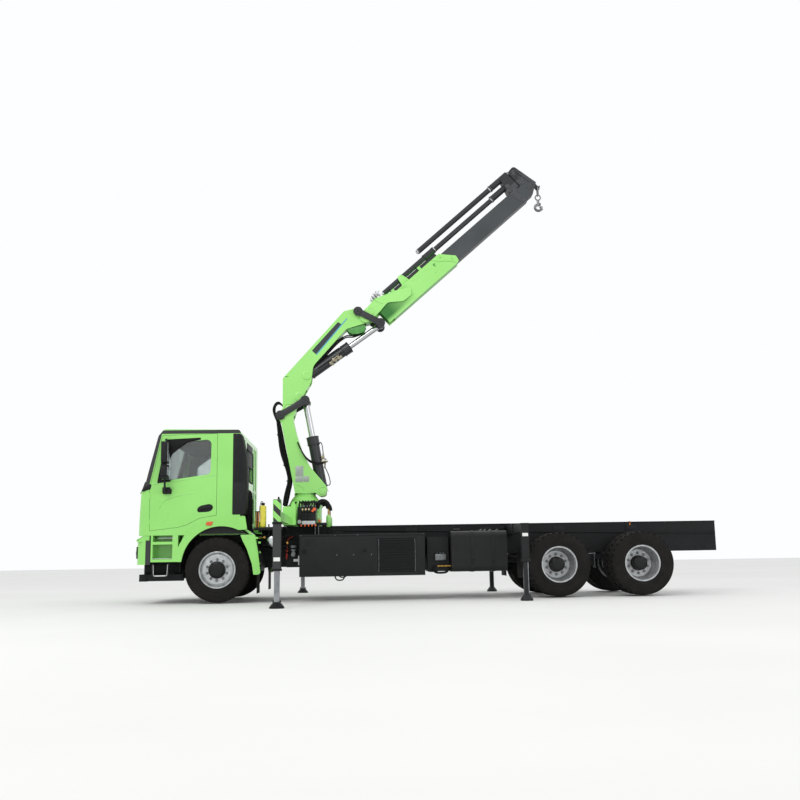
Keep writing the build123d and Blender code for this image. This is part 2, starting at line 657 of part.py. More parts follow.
def cab_hull(inset):
    """The cab's closed outer form, moved inwards by inset on every face but the floor's."""
    corners = from_shares(CAB_PROFILE_SHARES, CAB_FRONT, CAB_LOW, CAB_LENGTH, CAB_HEIGHT)
    face = outline(corners, -HALF_WIDTH - OVERRUN)
    if inset:
        face = Face(face.outer_wire().offset_2d(-inset))
    side = extrude(face, amount=2 * (HALF_WIDTH + OVERRUN), dir=(0, 1, 0))
    rear = CAB_FRONT + CAB_LENGTH
    half = HALF_WIDTH - inset
    front = CAB_FRONT + inset
    plan = Pos((front + rear) / 2, 0, CAB_LOW + CAB_HEIGHT / 2) * Box(
        rear - front, 2 * half, 2 * CAB_HEIGHT)
    edges = plan.edges().filter_by(Axis.Z).sort_by(Axis.X)[:2]
    plan = fillet(edges, CAB_CORNER_R - inset / 2)
    return side & plan


def door_outline(gap):
    """The door's outline in side view, drawn in by gap all round."""
    corners = from_shares(DOOR_SHARES, CAB_FRONT, CAB_LOW, CAB_LENGTH, CAB_HEIGHT)
    face = outline(corners, 0)
    if gap:
        face = Face(face.outer_wire().offset_2d(-gap))
    return face


def cab_panels():
    """Shell, roof, nose, doors and glass, all cut from one hull."""
    outer = cab_hull(0)
    inner = cab_hull(CAB_WALL)
    shell = outer - inner
    _, split_z = cab_at(0, ROOF_SPLIT_SHARE)
    _, nose_z = cab_at(0, NOSE_TOP_SHARE)
    nose_x, _ = cab_at(NOSE_DEPTH_SHARE, 0)
    wide = HALF_WIDTH + OVERRUN
    x0, x1 = CAB_FRONT - OVERRUN, CAB_FRONT + CAB_LENGTH + OVERRUN
    low, high = CAB_LOW - OVERRUN, CAB_LOW + CAB_HEIGHT + OVERRUN
    _, screen_low = cab_at(0, SCREEN_LOW_SHARE)
    _, screen_top = cab_at(0, SCREEN_TOP_SHARE)
    screen_cut = block(x0, CAB_FRONT + CAB_LENGTH / 2, -SCREEN_HALF, SCREEN_HALF,
                       screen_low, screen_top)
    _, back_low = cab_at(0, BACK_WINDOW_LOW_SHARE)
    _, back_top = cab_at(0, BACK_WINDOW_TOP_SHARE)
    back_cut = block(CAB_FRONT + CAB_LENGTH - 2 * CAB_WALL, x1, -BACK_WINDOW_HALF,
                     BACK_WINDOW_HALF, back_low, back_top)
    pane = cab_hull(CAB_WALL / 2) - cab_hull(CAB_WALL / 2 + GLASS)
    screen = pane & block(x0, CAB_FRONT + CAB_LENGTH / 2, -SCREEN_HALF + SEAT,
                          SCREEN_HALF - SEAT, screen_low + SEAT, screen_top - SEAT)
    back_glass = pane & block(CAB_FRONT + CAB_LENGTH - 2 * CAB_WALL, x1,
                              -BACK_WINDOW_HALF + SEAT, BACK_WINDOW_HALF - SEAT,
                              back_low + SEAT, back_top - SEAT)
    roof = shell & block(x0, x1, -wide, wide, split_z, high)
    shell = shell - block(x0, x1, -wide, wide, split_z, high)
    shell = shell - screen_cut - back_cut
    nose_zone = block(x0, nose_x, -wide, wide, low, nose_z)
    nose = shell & nose_zone
    shell = shell - nose_zone
    doors, panes = [], []
    for side in (-1, 1):
        y0 = side * (HALF_WIDTH - CAB_WALL)
        y1 = side * wide
        hole = extrude(Pos(0, min(y0, y1), 0) * door_outline(0), amount=abs(y1 - y0),
                       dir=(0, 1, 0))
        leaf = extrude(Pos(0, min(y0, y1), 0) * door_outline(SHUT), amount=abs(y1 - y0),
                       dir=(0, 1, 0))
        corners = from_shares(DOOR_WINDOW_SHARES, CAB_FRONT, CAB_LOW, CAB_LENGTH, CAB_HEIGHT)
        window = slab(corners, side * (HALF_WIDTH - 2 * CAB_WALL), y1)
        door = (outer & leaf) - window
        doors.append(door)
        mid = side * (HALF_WIDTH - CAB_WALL / 2)
        opening = outline(corners, min(mid, mid + side * GLASS))
        opening = Face(opening.outer_wire().offset_2d(-SEAT))
        panes.append(extrude(opening, amount=GLASS, dir=(0, 1, 0)))
        shell = shell - hole
        well = arch_well(ARCH_LINER_R + ARCH_WALL + SEAT,
                         side * (HALF_WIDTH - ARCH_DEPTH - ARCH_WALL - SEAT), y1)
        shell = shell - well - arch_band(side, SEAT)
    return shell, roof, nose, screen, back_glass, doors, panes


FLOOR_TOP = 1180.0
SEAT_X = -420.0
SEAT_Y = 620.0
SEAT_SIZE = 480.0
SEAT_BASE = 250.0
SEAT_CUSHION = 120.0
SEAT_BACK = 620.0
SEAT_BACK_THICK = 130.0
DASH_DEPTH = 330.0
DASH_LOW = 1500.0
DASH_TOP = 1900.0
WHEEL_RIM_R = 220.0
WHEEL_RIM = 16.0
STEERING_X = -760.0
STEERING_Z = 1930.0
STEERING_TILT = 25.0


def seats():
    """Two seats, each a pedestal, a cushion and a back in one piece."""
    made = []
    for side in (-1, 1):
        y0, y1 = side * SEAT_Y - SEAT_SIZE / 2, side * SEAT_Y + SEAT_SIZE / 2
        low = FLOOR_TOP + SEAT_BASE
        base = block(SEAT_X - SEAT_SIZE / 4, SEAT_X + SEAT_SIZE / 4, y0 + SEAT_CUSHION,
                     y1 - SEAT_CUSHION, FLOOR_TOP, low)
        cushion = block(SEAT_X - SEAT_SIZE / 2, SEAT_X + SEAT_SIZE / 2, y0, y1,
                        low, low + SEAT_CUSHION)
        back = block(SEAT_X + SEAT_SIZE / 2 - SEAT_BACK_THICK, SEAT_X + SEAT_SIZE / 2, y0, y1,
                     low + SEAT_CUSHION, low + SEAT_CUSHION + SEAT_BACK)
        made.append(base + cushion + back)
    return made


def dashboard():
    """Dash across the cab with the steering column and wheel on the driver's side."""
    inside = cab_hull(CAB_WALL + SEAT)
    rear = CAB_FRONT + CAB_WALL + DASH_DEPTH
    dash = inside & block(CAB_FRONT, rear, -HALF_WIDTH, HALF_WIDTH, DASH_LOW, DASH_TOP)
    dash &= block(CAB_FRONT, rear, -HALF_WIDTH + 2 * CAB_WALL, HALF_WIDTH - 2 * CAB_WALL,
                  DASH_LOW, DASH_TOP)
    ring = Pos(STEERING_X, -SEAT_Y, STEERING_Z) * Rot(0, STEERING_TILT, 0) * Torus(WHEEL_RIM_R, WHEEL_RIM)
    spokes = Pos(STEERING_X, -SEAT_Y, STEERING_Z) * Rot(0, STEERING_TILT, 0) * (
        Box(2 * WHEEL_RIM_R, 3 * WHEEL_RIM, WHEEL_RIM) + Cylinder(3 * WHEEL_RIM, 2 * WHEEL_RIM))
    column = Pos(STEERING_X, -SEAT_Y, STEERING_Z) * Rot(0, STEERING_TILT, 0) * Pos(
        0, 0, -WHEEL_RIM_R) * Cylinder(2 * WHEEL_RIM, 2 * WHEEL_RIM_R)
    return dash + ring + spokes + column


# Bumper, arches with steps, and rear mudguards
BUMPER_LOW = 643.0
BUMPER_TOP = 1035.0
BUMPER_REAR = -1088.0
BUMPER_WALL = 40.0
STEP_X0 = -1080.0
STEP_X1 = -640.0
STEP_INNER = 960.0
STEP_LOW = 683.0
STEP_TOP = 1160.0
STEP_TREAD = 45.0
ARCH_WALL = 30.0
ARCH_DEPTH = 280.0
ARCH_LINER_R = 690.0
ARCH_X = 57.0
ARCH_Z = 606.0
ARCH_R = 645.0
ARCH_SHARES = (                          # x and z from the wheel centre, shares of TYRE_R
    (-1.224, 0.257, 0.000),
    (-1.198, 0.659, 0.369),
    (-0.922, 1.180, 0.461),
    (-0.424, 1.520, 0.461),
    (-0.037, 1.585, 0.000),
    (0.826, 1.603, 0.037),
    (0.890, 1.195, 0.037),
    (0.553, 1.184, 0.000),
    (0.105, 0.117, 0.000),
    (-1.075, 0.253, 0.000),
)
GUARD_SHARES = (
    (0.697, 1.018, 0.000),
    (1.128, 1.025, 0.037),
    (1.258, -0.124, 0.020),
    (1.100, -0.152, 0.000),
)


def bumper():
    """Front bumper shell with rounded corners, open behind."""
    shape = block(-NOSE_REACH, BUMPER_REAR, -HALF_WIDTH, HALF_WIDTH, BUMPER_LOW, BUMPER_TOP)
    edges = shape.edges().filter_by(Axis.Z).sort_by(Axis.X)[:2]
    shape = fillet(edges, CAB_CORNER_R)
    core = block(-NOSE_REACH + BUMPER_WALL, BUMPER_REAR + OVERRUN, -HALF_WIDTH + BUMPER_WALL,
                 HALF_WIDTH - BUMPER_WALL, BUMPER_LOW - OVERRUN, BUMPER_TOP + OVERRUN)
    edges = core.edges().filter_by(Axis.Z).sort_by(Axis.X)[:2]
    core = fillet(edges, CAB_CORNER_R - BUMPER_WALL)
    shell = shape - core
    for side in (-1, 1):
        shell += block(-NOSE_REACH + BUMPER_WALL / 2, RAIL_FRONT - SEAT, side * RAIL_Y,
                       side * (RAIL_Y - RAIL_FLANGE), RAIL_LOW + BRACKET, RAIL_TOP - BRACKET)
    return shell


def arch_well(radius, y_in, y_out):
    """A round bar about the arch's centre, from y_in to y_out."""
    return pin_y(ARCH_X, ARCH_Z, radius, y_in, y_out)


def arch_band(side, gap):
    """The green band round the arch, in the cab side's thickness."""
    rows = from_shares(ARCH_SHARES, 0, WHEEL_Z, TYRE_R, TYRE_R)
    face = outline(rows, 0)
    if gap:
        face = Face(face.outer_wire().offset_2d(gap))
    y0, y1 = side * (HALF_WIDTH - CAB_WALL), side * (HALF_WIDTH + (OVERRUN if gap else 0))
    return extrude(Pos(0, min(y0, y1), 0) * face, amount=abs(y1 - y0), dir=(0, 1, 0))


def wheel_arches():
    """Green arch band, its liner, the step box in front and the rear mudguard, each side."""
    made = []
    for side in (-1, 1):
        y1, y0 = side * HALF_WIDTH, side * (HALF_WIDTH - CAB_WALL)
        deep = side * (HALF_WIDTH - ARCH_DEPTH)
        past = side * OVERRUN
        opening = arch_well(ARCH_R, 0, y1 + past)
        sweep = arch_well(ARCH_LINER_R, deep - past, y0)
        arch = arch_band(side, 0) - opening
        liner = arch_well(ARCH_LINER_R + ARCH_WALL, deep - side * ARCH_WALL, y0)
        liner -= arch_well(ARCH_LINER_R, deep, y0 + past)
        liner &= block(STEP_X1, ARCH_X + ARCH_R, side * RAIL_Y, y0, CAB_LOW, CAB_LOW + ARCH_R)
        step = block(STEP_X0, STEP_X1, side * STEP_INNER, y1, STEP_LOW, STEP_TOP)
        recess_low = STEP_LOW + STEP_TREAD
        middle = (STEP_LOW + STEP_TOP) / 2 + STEP_TREAD
        for low, high in ((recess_low, middle), (middle + STEP_TREAD, STEP_TOP - ARCH_WALL)):
            step -= block(STEP_X0 + ARCH_WALL, STEP_X1 - 2 * STEP_TREAD,
                          side * (STEP_INNER + ARCH_WALL), y1 + past, low, high)
        step -= sweep
        step &= block(STEP_X0, STEP_X1, side * STEP_INNER, y1, STEP_LOW, CAB_LOW - SEAT)
        made += [arch + liner + step]
        rows = from_shares(GUARD_SHARES, 0, WHEEL_Z, TYRE_R, TYRE_R)
        guard = slab(rows, y0, y1) - opening
        guard += slab(rows, deep, y0) & (
            arch_well(ARCH_LINER_R + ARCH_WALL, deep, y0) - arch_well(ARCH_LINER_R, deep, y0))
        guard += block(TYRE_R + BRACKET, TYRE_R + 2 * BRACKET, side * RAIL_Y, y1,
                       RAIL_TOP, RAIL_TOP + ARCH_WALL)
        made.append(guard)
    return made


# Crane: pins of both knuckles, then column, booms, links and cylinders
P1 = (1091.0, 3343.0)        # column head and inner boom
A1 = (925.0, 3253.0)         # long link on the column
B1 = (1367.0, 3522.0)        # lift rod's eye between the links
D1 = (1680.0, 1872.0)        # foot of the lift cylinder
P2 = (2480.0, 5075.0)        # inner boom's nose and outer boom
A2 = (2337.0, 5171.0)        # long link on the inner boom
B2 = (2748.0, 4952.0)        # fold rod's eye
D2 = (1397.0, 3981.0)        # foot of the fold cylinder
COLUMN_FOOT = 1850.0
COLUMN_HEIGHT = P1[1] - COLUMN_FOOT
BOOM_HALF = 125.0
BOOM_PLATE = 16.0
CHEEK = 34.0
COLUMN_HALF = BOOM_HALF + CLEAR + CHEEK
LINK_PLATE = 25.0
LINK_IN = COLUMN_HALF + CLEAR
LINK_OUT = LINK_IN + LINK_PLATE
PIN_CAP = 12.0
LINK_END_R = 75.0
LINK_WAIST = 45.0
PIN_R = 40.0
EYE_R = 72.0
EYE_HALF = 58.0
ROOT_R = 105.0
LIFT_BARREL_R = 98.0
LIFT_BARREL_LENGTH = 1019.0
LIFT_ROD_R = 58.0
FOLD_BARREL_R = 95.0
FOLD_BARREL_LENGTH = 963.0
FOLD_ROD_R = 52.0
EAR_SLOT = LIFT_BARREL_R + 2 * CLEAR
COLUMN_OUTLINE_SHARES = (                # x, z and radius, shares of COLUMN_HEIGHT
    (-0.115, 0.000, 0.000),
    (-0.283, 0.854, 0.134),
    (-0.343, 0.931, 0.040),
    (-0.293, 0.995, 0.040),
    (-0.222, 1.065, 0.060),
    (-0.142, 1.065, 0.047),
    (-0.111, 0.991, 0.040),
    (-0.142, 0.891, 0.000),
    (-0.098, 0.703, 0.268),
    (-0.028, 0.496, 0.268),
    (0.059, 0.322, 0.335),
    (0.263, 0.077, 0.033),
    (0.257, -0.033, 0.040),
    (0.186, -0.040, 0.027),
    (0.133, 0.000, 0.000),
)
EAR_SLOT_SHARES = (
    (0.062, 0.380, 0.000),
    (0.085, 0.100, 0.000),
    (0.110, -0.100, 0.000),
    (0.360, -0.100, 0.000),
    (0.360, 0.380, 0.000),
)
INNER_LENGTH = hypot(P2[0] - P1[0], P2[1] - P1[1])
INNER_BOOM_SHARES = (                    # from P1, shares of INNER_LENGTH
    (-0.058, -0.019, 0.018),
    (-0.058, 0.268, 0.014),
    (0.444, 0.832, 0.027),
    (0.532, 0.853, 0.027),
    (0.626, 0.832, 0.027),
    (0.675, 0.801, 0.031),
    (0.675, 0.740, 0.036),
    (0.608, 0.724, 0.054),
    (0.462, 0.680, 0.090),
    (0.190, 0.370, 0.090),
    (0.174, 0.238, 0.045),
    (0.114, 0.133, 0.068),
    (0.090, 0.080, 0.027),
    (0.050, 0.025, 0.027),
    (0.040, -0.033, 0.027),
    (0.000, -0.050, 0.036),
)


def column():
    """Slewing column: a box body with cheeks for the boom, an ear for the lift cylinder."""
    rows = from_shares(COLUMN_OUTLINE_SHARES, SLEW_X, COLUMN_FOOT, COLUMN_HEIGHT, COLUMN_HEIGHT)
    body = slab(rows, -COLUMN_HALF, COLUMN_HALF)
    slot = BOOM_HALF + CLEAR
    reach = ROOT_R + 7 * CLEAR
    body -= pin_y(*P1, reach, -slot, slot)
    body -= block(P1[0] - 2 * reach, P1[0] + 2 * reach, -slot, slot, P1[1], P1[1] + 3 * reach)
    body -= block(P1[0] - 3 * reach, P1[0], -slot, slot, P1[1] - reach / 2, P1[1] + reach)
    cut = from_shares(EAR_SLOT_SHARES, SLEW_X, COLUMN_FOOT, COLUMN_HEIGHT, COLUMN_HEIGHT)
    body -= slab(cut, -EAR_SLOT, EAR_SLOT)
    body += pin_z(SLEW_X, 0, BASE_R, COLUMN_FOOT, COLUMN_FOOT + CLEAR)
    body += pin_z(SLEW_X, 0, STUB_R, BASE_TOP - STUB_DEPTH, COLUMN_FOOT + CLEAR)
    body += pin_y(*P1, PIN_R, -COLUMN_HALF, COLUMN_HALF)
    body += pin_y(*D1, PIN_R, -COLUMN_HALF, COLUMN_HALF)
    for side in (-1, 1):
        body += pin_y(*A1, PIN_R, side * (BOOM_HALF + CLEAR), side * (LINK_OUT + PIN_CAP))
        body += pin_y(*A1, PIN_R + PIN_CAP, side * (LINK_OUT + SLIDE),
                      side * (LINK_OUT + PIN_CAP))
    return body


def link_pair(start, end, boss_in):
    """Two side plates that swing on start, joined by nothing but their far boss."""
    length = hypot(end[0] - start[0], end[1] - start[1])
    angle = degrees(atan2(end[1] - start[1], end[0] - start[0]))
    plates = []
    for side in (-1, 1):
        plate = pin_y(0, 0, LINK_END_R, side * LINK_IN, side * LINK_OUT)
        plate += pin_y(length, 0, LINK_END_R, side * LINK_IN, side * LINK_OUT)
        plate += block(0, length, side * LINK_IN, side * LINK_OUT, -LINK_WAIST, LINK_WAIST)
        plate += pin_y(length, 0, PIN_R + PIN_CAP, side * boss_in, side * LINK_OUT)
        plate -= pin_y(0, 0, PIN_R + FIT, side * (LINK_IN - OVERRUN), side * (LINK_OUT + OVERRUN))
        plates.append(aimed(plate, start, angle))
    return plates


def cylinder_barrel(foot, tip, radius, length, rod_r):
    """Barrel with its foot eye; the bore is open at the gland."""
    angle = degrees(atan2(tip[1] - foot[1], tip[0] - foot[0]))
    eye = pin_y(0, 0, EYE_R, -EYE_HALF, EYE_HALF)
    eye += block(0, EYE_R + 2 * PIN_CAP, -EYE_HALF, EYE_HALF, -EYE_R, EYE_R)
    eye -= pin_y(0, 0, PIN_R + FIT, -2 * EYE_HALF, 2 * EYE_HALF)
    barrel = pin_x(0, 0, radius, EYE_R + PIN_CAP, length)
    barrel += pin_x(0, 0, radius + PIN_CAP, length - 2 * EYE_R, length)
    barrel += eye
    barrel -= pin_x(0, 0, rod_r + FIT, 2 * EYE_R, length + OVERRUN)
    return aimed(barrel, foot, angle)


def cylinder_rod(foot, tip, rod_r, inside):
    """Rod with its eye at the tip; inside is how far down the barrel it starts."""
    reach = hypot(tip[0] - foot[0], tip[1] - foot[1])
    angle = degrees(atan2(tip[1] - foot[1], tip[0] - foot[0]))
    rod = pin_x(0, 0, rod_r, inside, reach - EYE_R / 2)
    rod += pin_y(reach, 0, EYE_R, -EYE_HALF, EYE_HALF)
    rod += pin_y(reach, 0, PIN_R, -EYE_HALF - BOOM_PLATE, EYE_HALF + BOOM_PLATE)
    return aimed(rod, foot, angle)


ROOT_POCKET_SHARES = (                   # room for the rod's eye, from P1
    (0.085, -0.060, 0.000),
    (0.085, 0.175, 0.000),
    (0.300, 0.175, 0.000),
    (0.300, -0.060, 0.000),
)
FOOT_POCKET_SHARES = (                   # room for the fold cylinder's foot
    (0.080, 0.210, 0.000),
    (0.080, 0.330, 0.000),
    (0.200, 0.480, 0.000),
    (0.330, 0.480, 0.000),
    (0.330, 0.210, 0.000),
)


def inner_boom():
    """Cranked box boom with pockets for the lift rod's eye and the fold cylinder's foot."""
    rows = from_shares(INNER_BOOM_SHARES, P1[0], P1[1], INNER_LENGTH, INNER_LENGTH)
    boom = slab(rows, -BOOM_HALF, BOOM_HALF)
    half = BOOM_HALF - BOOM_PLATE
    for shares in (ROOT_POCKET_SHARES, FOOT_POCKET_SHARES):
        pocket = from_shares(shares, P1[0], P1[1], INNER_LENGTH, INNER_LENGTH)
        boom -= slab(pocket, -half, half)
    boom -= pin_y(*P1, PIN_R + FIT, -COLUMN_HALF, COLUMN_HALF)
    boom += pin_y(*D2, PIN_R, -BOOM_HALF, BOOM_HALF)
    boom += pin_y(*P2, PIN_R, -COLUMN_HALF, COLUMN_HALF)
    for side in (-1, 1):
        boom += pin_y(*A2, PIN_R + PIN_CAP, side * (BOOM_HALF - BOOM_PLATE),
                      side * (LINK_IN - SLIDE))
        boom += pin_y(*A2, PIN_R, side * (BOOM_HALF - BOOM_PLATE), side * (LINK_OUT + PIN_CAP))
        boom += pin_y(*A2, PIN_R + PIN_CAP, side * (LINK_OUT + SLIDE),
                      side * (LINK_OUT + PIN_CAP))
    return boom


# Outer boom and its extensions, built along +X from P2 and then raised
BOOM_ANGLE = 41.6
OUTER_LOW = -371.0
OUTER_TOP = -5.0
OUTER_REAR = 400.0
FORK_REAR = 262.0
FORK_TOP = -98.0
OUTER_FRONT = 1993.0
OUTER_WALL = 12.0
OUTER_HALF = 131.0
COLLAR_SLANT = 175.0
PAD = 10.0
FORK_HALF = 80.0
EXT1_LOW = -349.0
EXT1_TOP = -34.0
EXT1_HALF = 112.0
EXT1_REAR = 1500.0
EXT1_FRONT = 3841.0
EXT1_SLANT = 120.0
EXT1_STROKE = 1080.0
EXT_WALL = 12.0
EXT2_GAP = 8.0
EXT2_REAR = 1780.0
EXT2_FRONT = 3990.0
EXT2_STROKE = 1600.0
RAM1_Z = 136.0
RAM2_Z = 306.0
RAM_R = 50.0
RAM_GLAND_R = 60.0
RAM_ROD_R = 36.0
RAM1_REAR = 576.0
RAM1_GLAND = 1841.0
RAM1_GLAND_LENGTH = 243.0
RAM1_ROD_START = 1720.0
RAM1_HEAD = 3343.0
RAM2_REAR = 1600.0
RAM2_GLAND = 3915.0
RAM2_ROD_START = 1660.0
HEAD_PLATE = 22.0
HEAD1_REAR = 3640.0
HEAD2_REAR = 3925.0
HEAD_FRONT = 4205.0
HEAD_HALF = 85.0
HEAD_TOP = 330.0
HEAD_NOSE = -200.0
HEAD_CORNER_R = 60.0
HEAD_NOSE_R = 25.0
OUTER_EAR_SHARES = (                     # x, z and radius, shares of the boom's height
    (-0.287, 0.287, 0.280),
    (0.390, 0.320, 0.200),
    (1.020, 0.385, 0.200),
    (1.420, 0.200, 0.250),
    (2.050, -0.014, 0.300),
    (2.750, -0.350, 0.100),
    (2.500, -0.690, 0.200),
    (1.950, -0.660, 0.300),
    (1.320, -0.180, 0.300),
    (0.720, -0.270, 0.100),
    (0.250, -0.300, 0.050),
    (-0.287, -0.287, 0.280),
)


def outer_boom():
    """Fixed box of the outer boom: flared ears on the knuckle, open fork, slanted collar."""
    height = OUTER_TOP - OUTER_LOW
    rows = [
        (OUTER_REAR, OUTER_LOW, 0), (OUTER_REAR, OUTER_TOP, 0),
        (OUTER_FRONT - COLLAR_SLANT, OUTER_TOP, 0), (OUTER_FRONT, OUTER_LOW, 0),
    ]
    boom = slab(rows, -OUTER_HALF, OUTER_HALF)
    hollow = OUTER_HALF - OUTER_WALL
    boom -= block(OUTER_REAR + OUTER_WALL, OUTER_FRONT + OVERRUN, -hollow, hollow,
                  OUTER_LOW + OUTER_WALL, OUTER_TOP - OUTER_WALL)
    wide = EXT1_HALF + SLIDE
    for x in (OUTER_FRONT - 2 * COLLAR_SLANT, EXT1_REAR - EXT1_STROKE + COLLAR_SLANT):
        pads = block(x, x + COLLAR_SLANT / 2, -hollow, hollow, OUTER_LOW + OUTER_WALL,
                     OUTER_TOP - OUTER_WALL)
        pads -= block(x - OVERRUN, x + COLLAR_SLANT, -wide, wide, EXT1_LOW - SLIDE,
                      EXT1_TOP + SLIDE)
        boom += pads
    for side in (-1, 1):
        boom += block(FORK_REAR, OUTER_REAR + OUTER_WALL, side * hollow, side * OUTER_HALF,
                      OUTER_LOW, FORK_TOP)
    ears = from_shares(OUTER_EAR_SHARES, 0, 0, height, height)
    ear_in = BOOM_HALF + CLEAR
    for side in (-1, 1):
        ear = slab(ears, side * ear_in, side * (ear_in + LINK_PLATE))
        ear -= pin_y(0, 0, PIN_R + FIT, side * (ear_in - OVERRUN), side * (LINK_OUT + OVERRUN))
        boom += ear
    low = RAM1_Z - RAM_R
    for x in (RAM1_REAR + 2 * RAM_GLAND_R, RAM1_GLAND - 2 * RAM1_GLAND_LENGTH):
        strap = block(x, x + RAM_GLAND_R, -RAM_GLAND_R, RAM_GLAND_R, OUTER_TOP, RAM1_Z)
        boom += strap
    boom += pin_x(0, RAM1_Z, RAM_R, RAM1_REAR, RAM1_GLAND)
    boom += pin_x(0, RAM1_Z, RAM_GLAND_R, RAM1_GLAND - RAM1_GLAND_LENGTH, RAM1_GLAND)
    boom -= pin_x(0, RAM1_Z, RAM_ROD_R + FIT, RAM1_REAR + PIN_CAP, RAM1_GLAND + OVERRUN)
    return aimed(boom, P2, BOOM_ANGLE)


def extension_1():
    """First extension: a box with the outer end of ram 1 and the barrel of ram 2."""
    rows = [
        (EXT1_REAR, EXT1_LOW, 0), (EXT1_REAR, EXT1_TOP, 0),
        (EXT1_FRONT - EXT1_SLANT, EXT1_TOP, 0), (EXT1_FRONT, EXT1_LOW, 0),
    ]
    tube = slab(rows, -EXT1_HALF, EXT1_HALF)
    inside = EXT1_HALF - EXT_WALL
    tube -= block(EXT1_REAR - OVERRUN, EXT1_FRONT + OVERRUN, -inside, inside,
                  EXT1_LOW + EXT_WALL, EXT1_TOP - EXT_WALL)
    wide = inside - EXT2_GAP + SLIDE
    low, high = EXT1_LOW + EXT_WALL + EXT2_GAP - SLIDE, EXT1_TOP - EXT_WALL - EXT2_GAP + SLIDE
    for x in (EXT1_FRONT - COLLAR_SLANT, EXT1_FRONT - 4 * COLLAR_SLANT):
        pads = block(x, x + COLLAR_SLANT / 2, -inside, inside, EXT1_LOW + EXT_WALL,
                     EXT1_TOP - EXT_WALL)
        pads -= block(x - OVERRUN, x + COLLAR_SLANT, -wide, wide, low, high)
        tube += pads
    rows = [
        (HEAD1_REAR, EXT1_TOP, 0), (HEAD1_REAR + COLLAR_SLANT / 2, RAM2_Z, 0),
        (HEAD2_REAR - HEAD_PLATE, RAM2_Z, 0), (HEAD2_REAR - HEAD_PLATE, EXT1_TOP, 0),
    ]
    bracket = slab(rows, -HEAD_HALF, HEAD_HALF)
    tube += bracket
    tube += pin_x(0, RAM1_Z, RAM_ROD_R, RAM1_ROD_START, HEAD1_REAR + COLLAR_SLANT)
    tube += pin_x(0, RAM1_Z, RAM_GLAND_R, RAM1_HEAD, HEAD1_REAR + COLLAR_SLANT)
    tube += pin_x(0, RAM2_Z, RAM_R, RAM2_REAR, RAM2_GLAND)
    tube += pin_x(0, RAM2_Z, RAM_GLAND_R, RAM1_HEAD + COLLAR_SLANT, RAM2_GLAND)
    tube -= pin_x(0, RAM2_Z, RAM_ROD_R + FIT, RAM2_REAR + PIN_CAP, RAM2_GLAND + OVERRUN)
    return aimed(tube, P2, BOOM_ANGLE)


HOOK_X = 4167.0
HOOK_Z = -296.0


def extension_2():
    """Second extension with the boom head, which carries ram 2's rod and the hook's pin."""
    half = EXT1_HALF - EXT_WALL - EXT2_GAP
    low, high = EXT1_LOW + EXT_WALL + EXT2_GAP, EXT1_TOP - EXT_WALL - EXT2_GAP
    tube = block(EXT2_REAR, EXT2_FRONT, -half, half, low, high)
    tube -= block(EXT2_REAR - OVERRUN, EXT2_FRONT - EXT_WALL, -half + EXT_WALL,
                  half - EXT_WALL, low + EXT_WALL, high - EXT_WALL)
    rows = [
        (HEAD2_REAR, low, 0), (HEAD2_REAR, HEAD_TOP - HEAD_PLATE, HEAD_CORNER_R),
        (HEAD2_REAR + COLLAR_SLANT, HEAD_TOP, HEAD_CORNER_R),
        (HEAD_FRONT, HEAD_NOSE, HEAD_NOSE_R),
        (HEAD_FRONT - HEAD_HALF, HEAD_NOSE - 2 * HEAD_PLATE, HEAD_NOSE_R), (EXT2_FRONT, low, 0),
    ]
    head = slab(rows, -HEAD_HALF, HEAD_HALF)
    head -= slab(rows, -HEAD_HALF / 2, HEAD_HALF / 2) & block(
        HEAD2_REAR + HEAD_PLATE, HEAD_FRONT + OVERRUN, -HEAD_HALF, HEAD_HALF,
        EXT1_TOP, HEAD_TOP + OVERRUN)
    tube += head
    tube += pin_x(0, RAM2_Z, RAM_ROD_R, RAM2_ROD_START, HEAD2_REAR + HEAD_PLATE)
    lug = pin_y(HOOK_X, HOOK_Z, HOOK_LUG_R, -HOOK_LUG / 2, HOOK_LUG / 2)
    tube += lug + block(HOOK_X - HOOK_LUG_R, HOOK_X + HOOK_LUG_R, -HOOK_LUG / 2,
                        HOOK_LUG / 2, HOOK_Z, HEAD_NOSE)
    tube -= pin_y(HOOK_X, HOOK_Z, HOOK_PIN_R + FIT, -HEAD_HALF, HEAD_HALF)
    return aimed(tube, P2, BOOM_ANGLE)


HOOK_LUG_R = 38.0
HOOK_LUG = 30.0
HOOK_PIN_R = 14.0
SHACKLE_HALF = 50.0
SHACKLE_BAR = 14.0
SHACKLE_DROP = 130.0
LINK_RING_R = 50.0
LINK_RING_BAR = 12.0
HOOK_BOWL_R = 62.0
HOOK_BAR = 24.0
HOOK_SHANK = 120.0


def hook_point():
    """Where the shackle's pin passes through the boom head, in the X-Z plane."""
    turn = radians(BOOM_ANGLE)
    x = P2[0] + HOOK_X * cos(turn) - HOOK_Z * sin(turn)
    z = P2[1] + HOOK_X * sin(turn) + HOOK_Z * cos(turn)
    return x, z


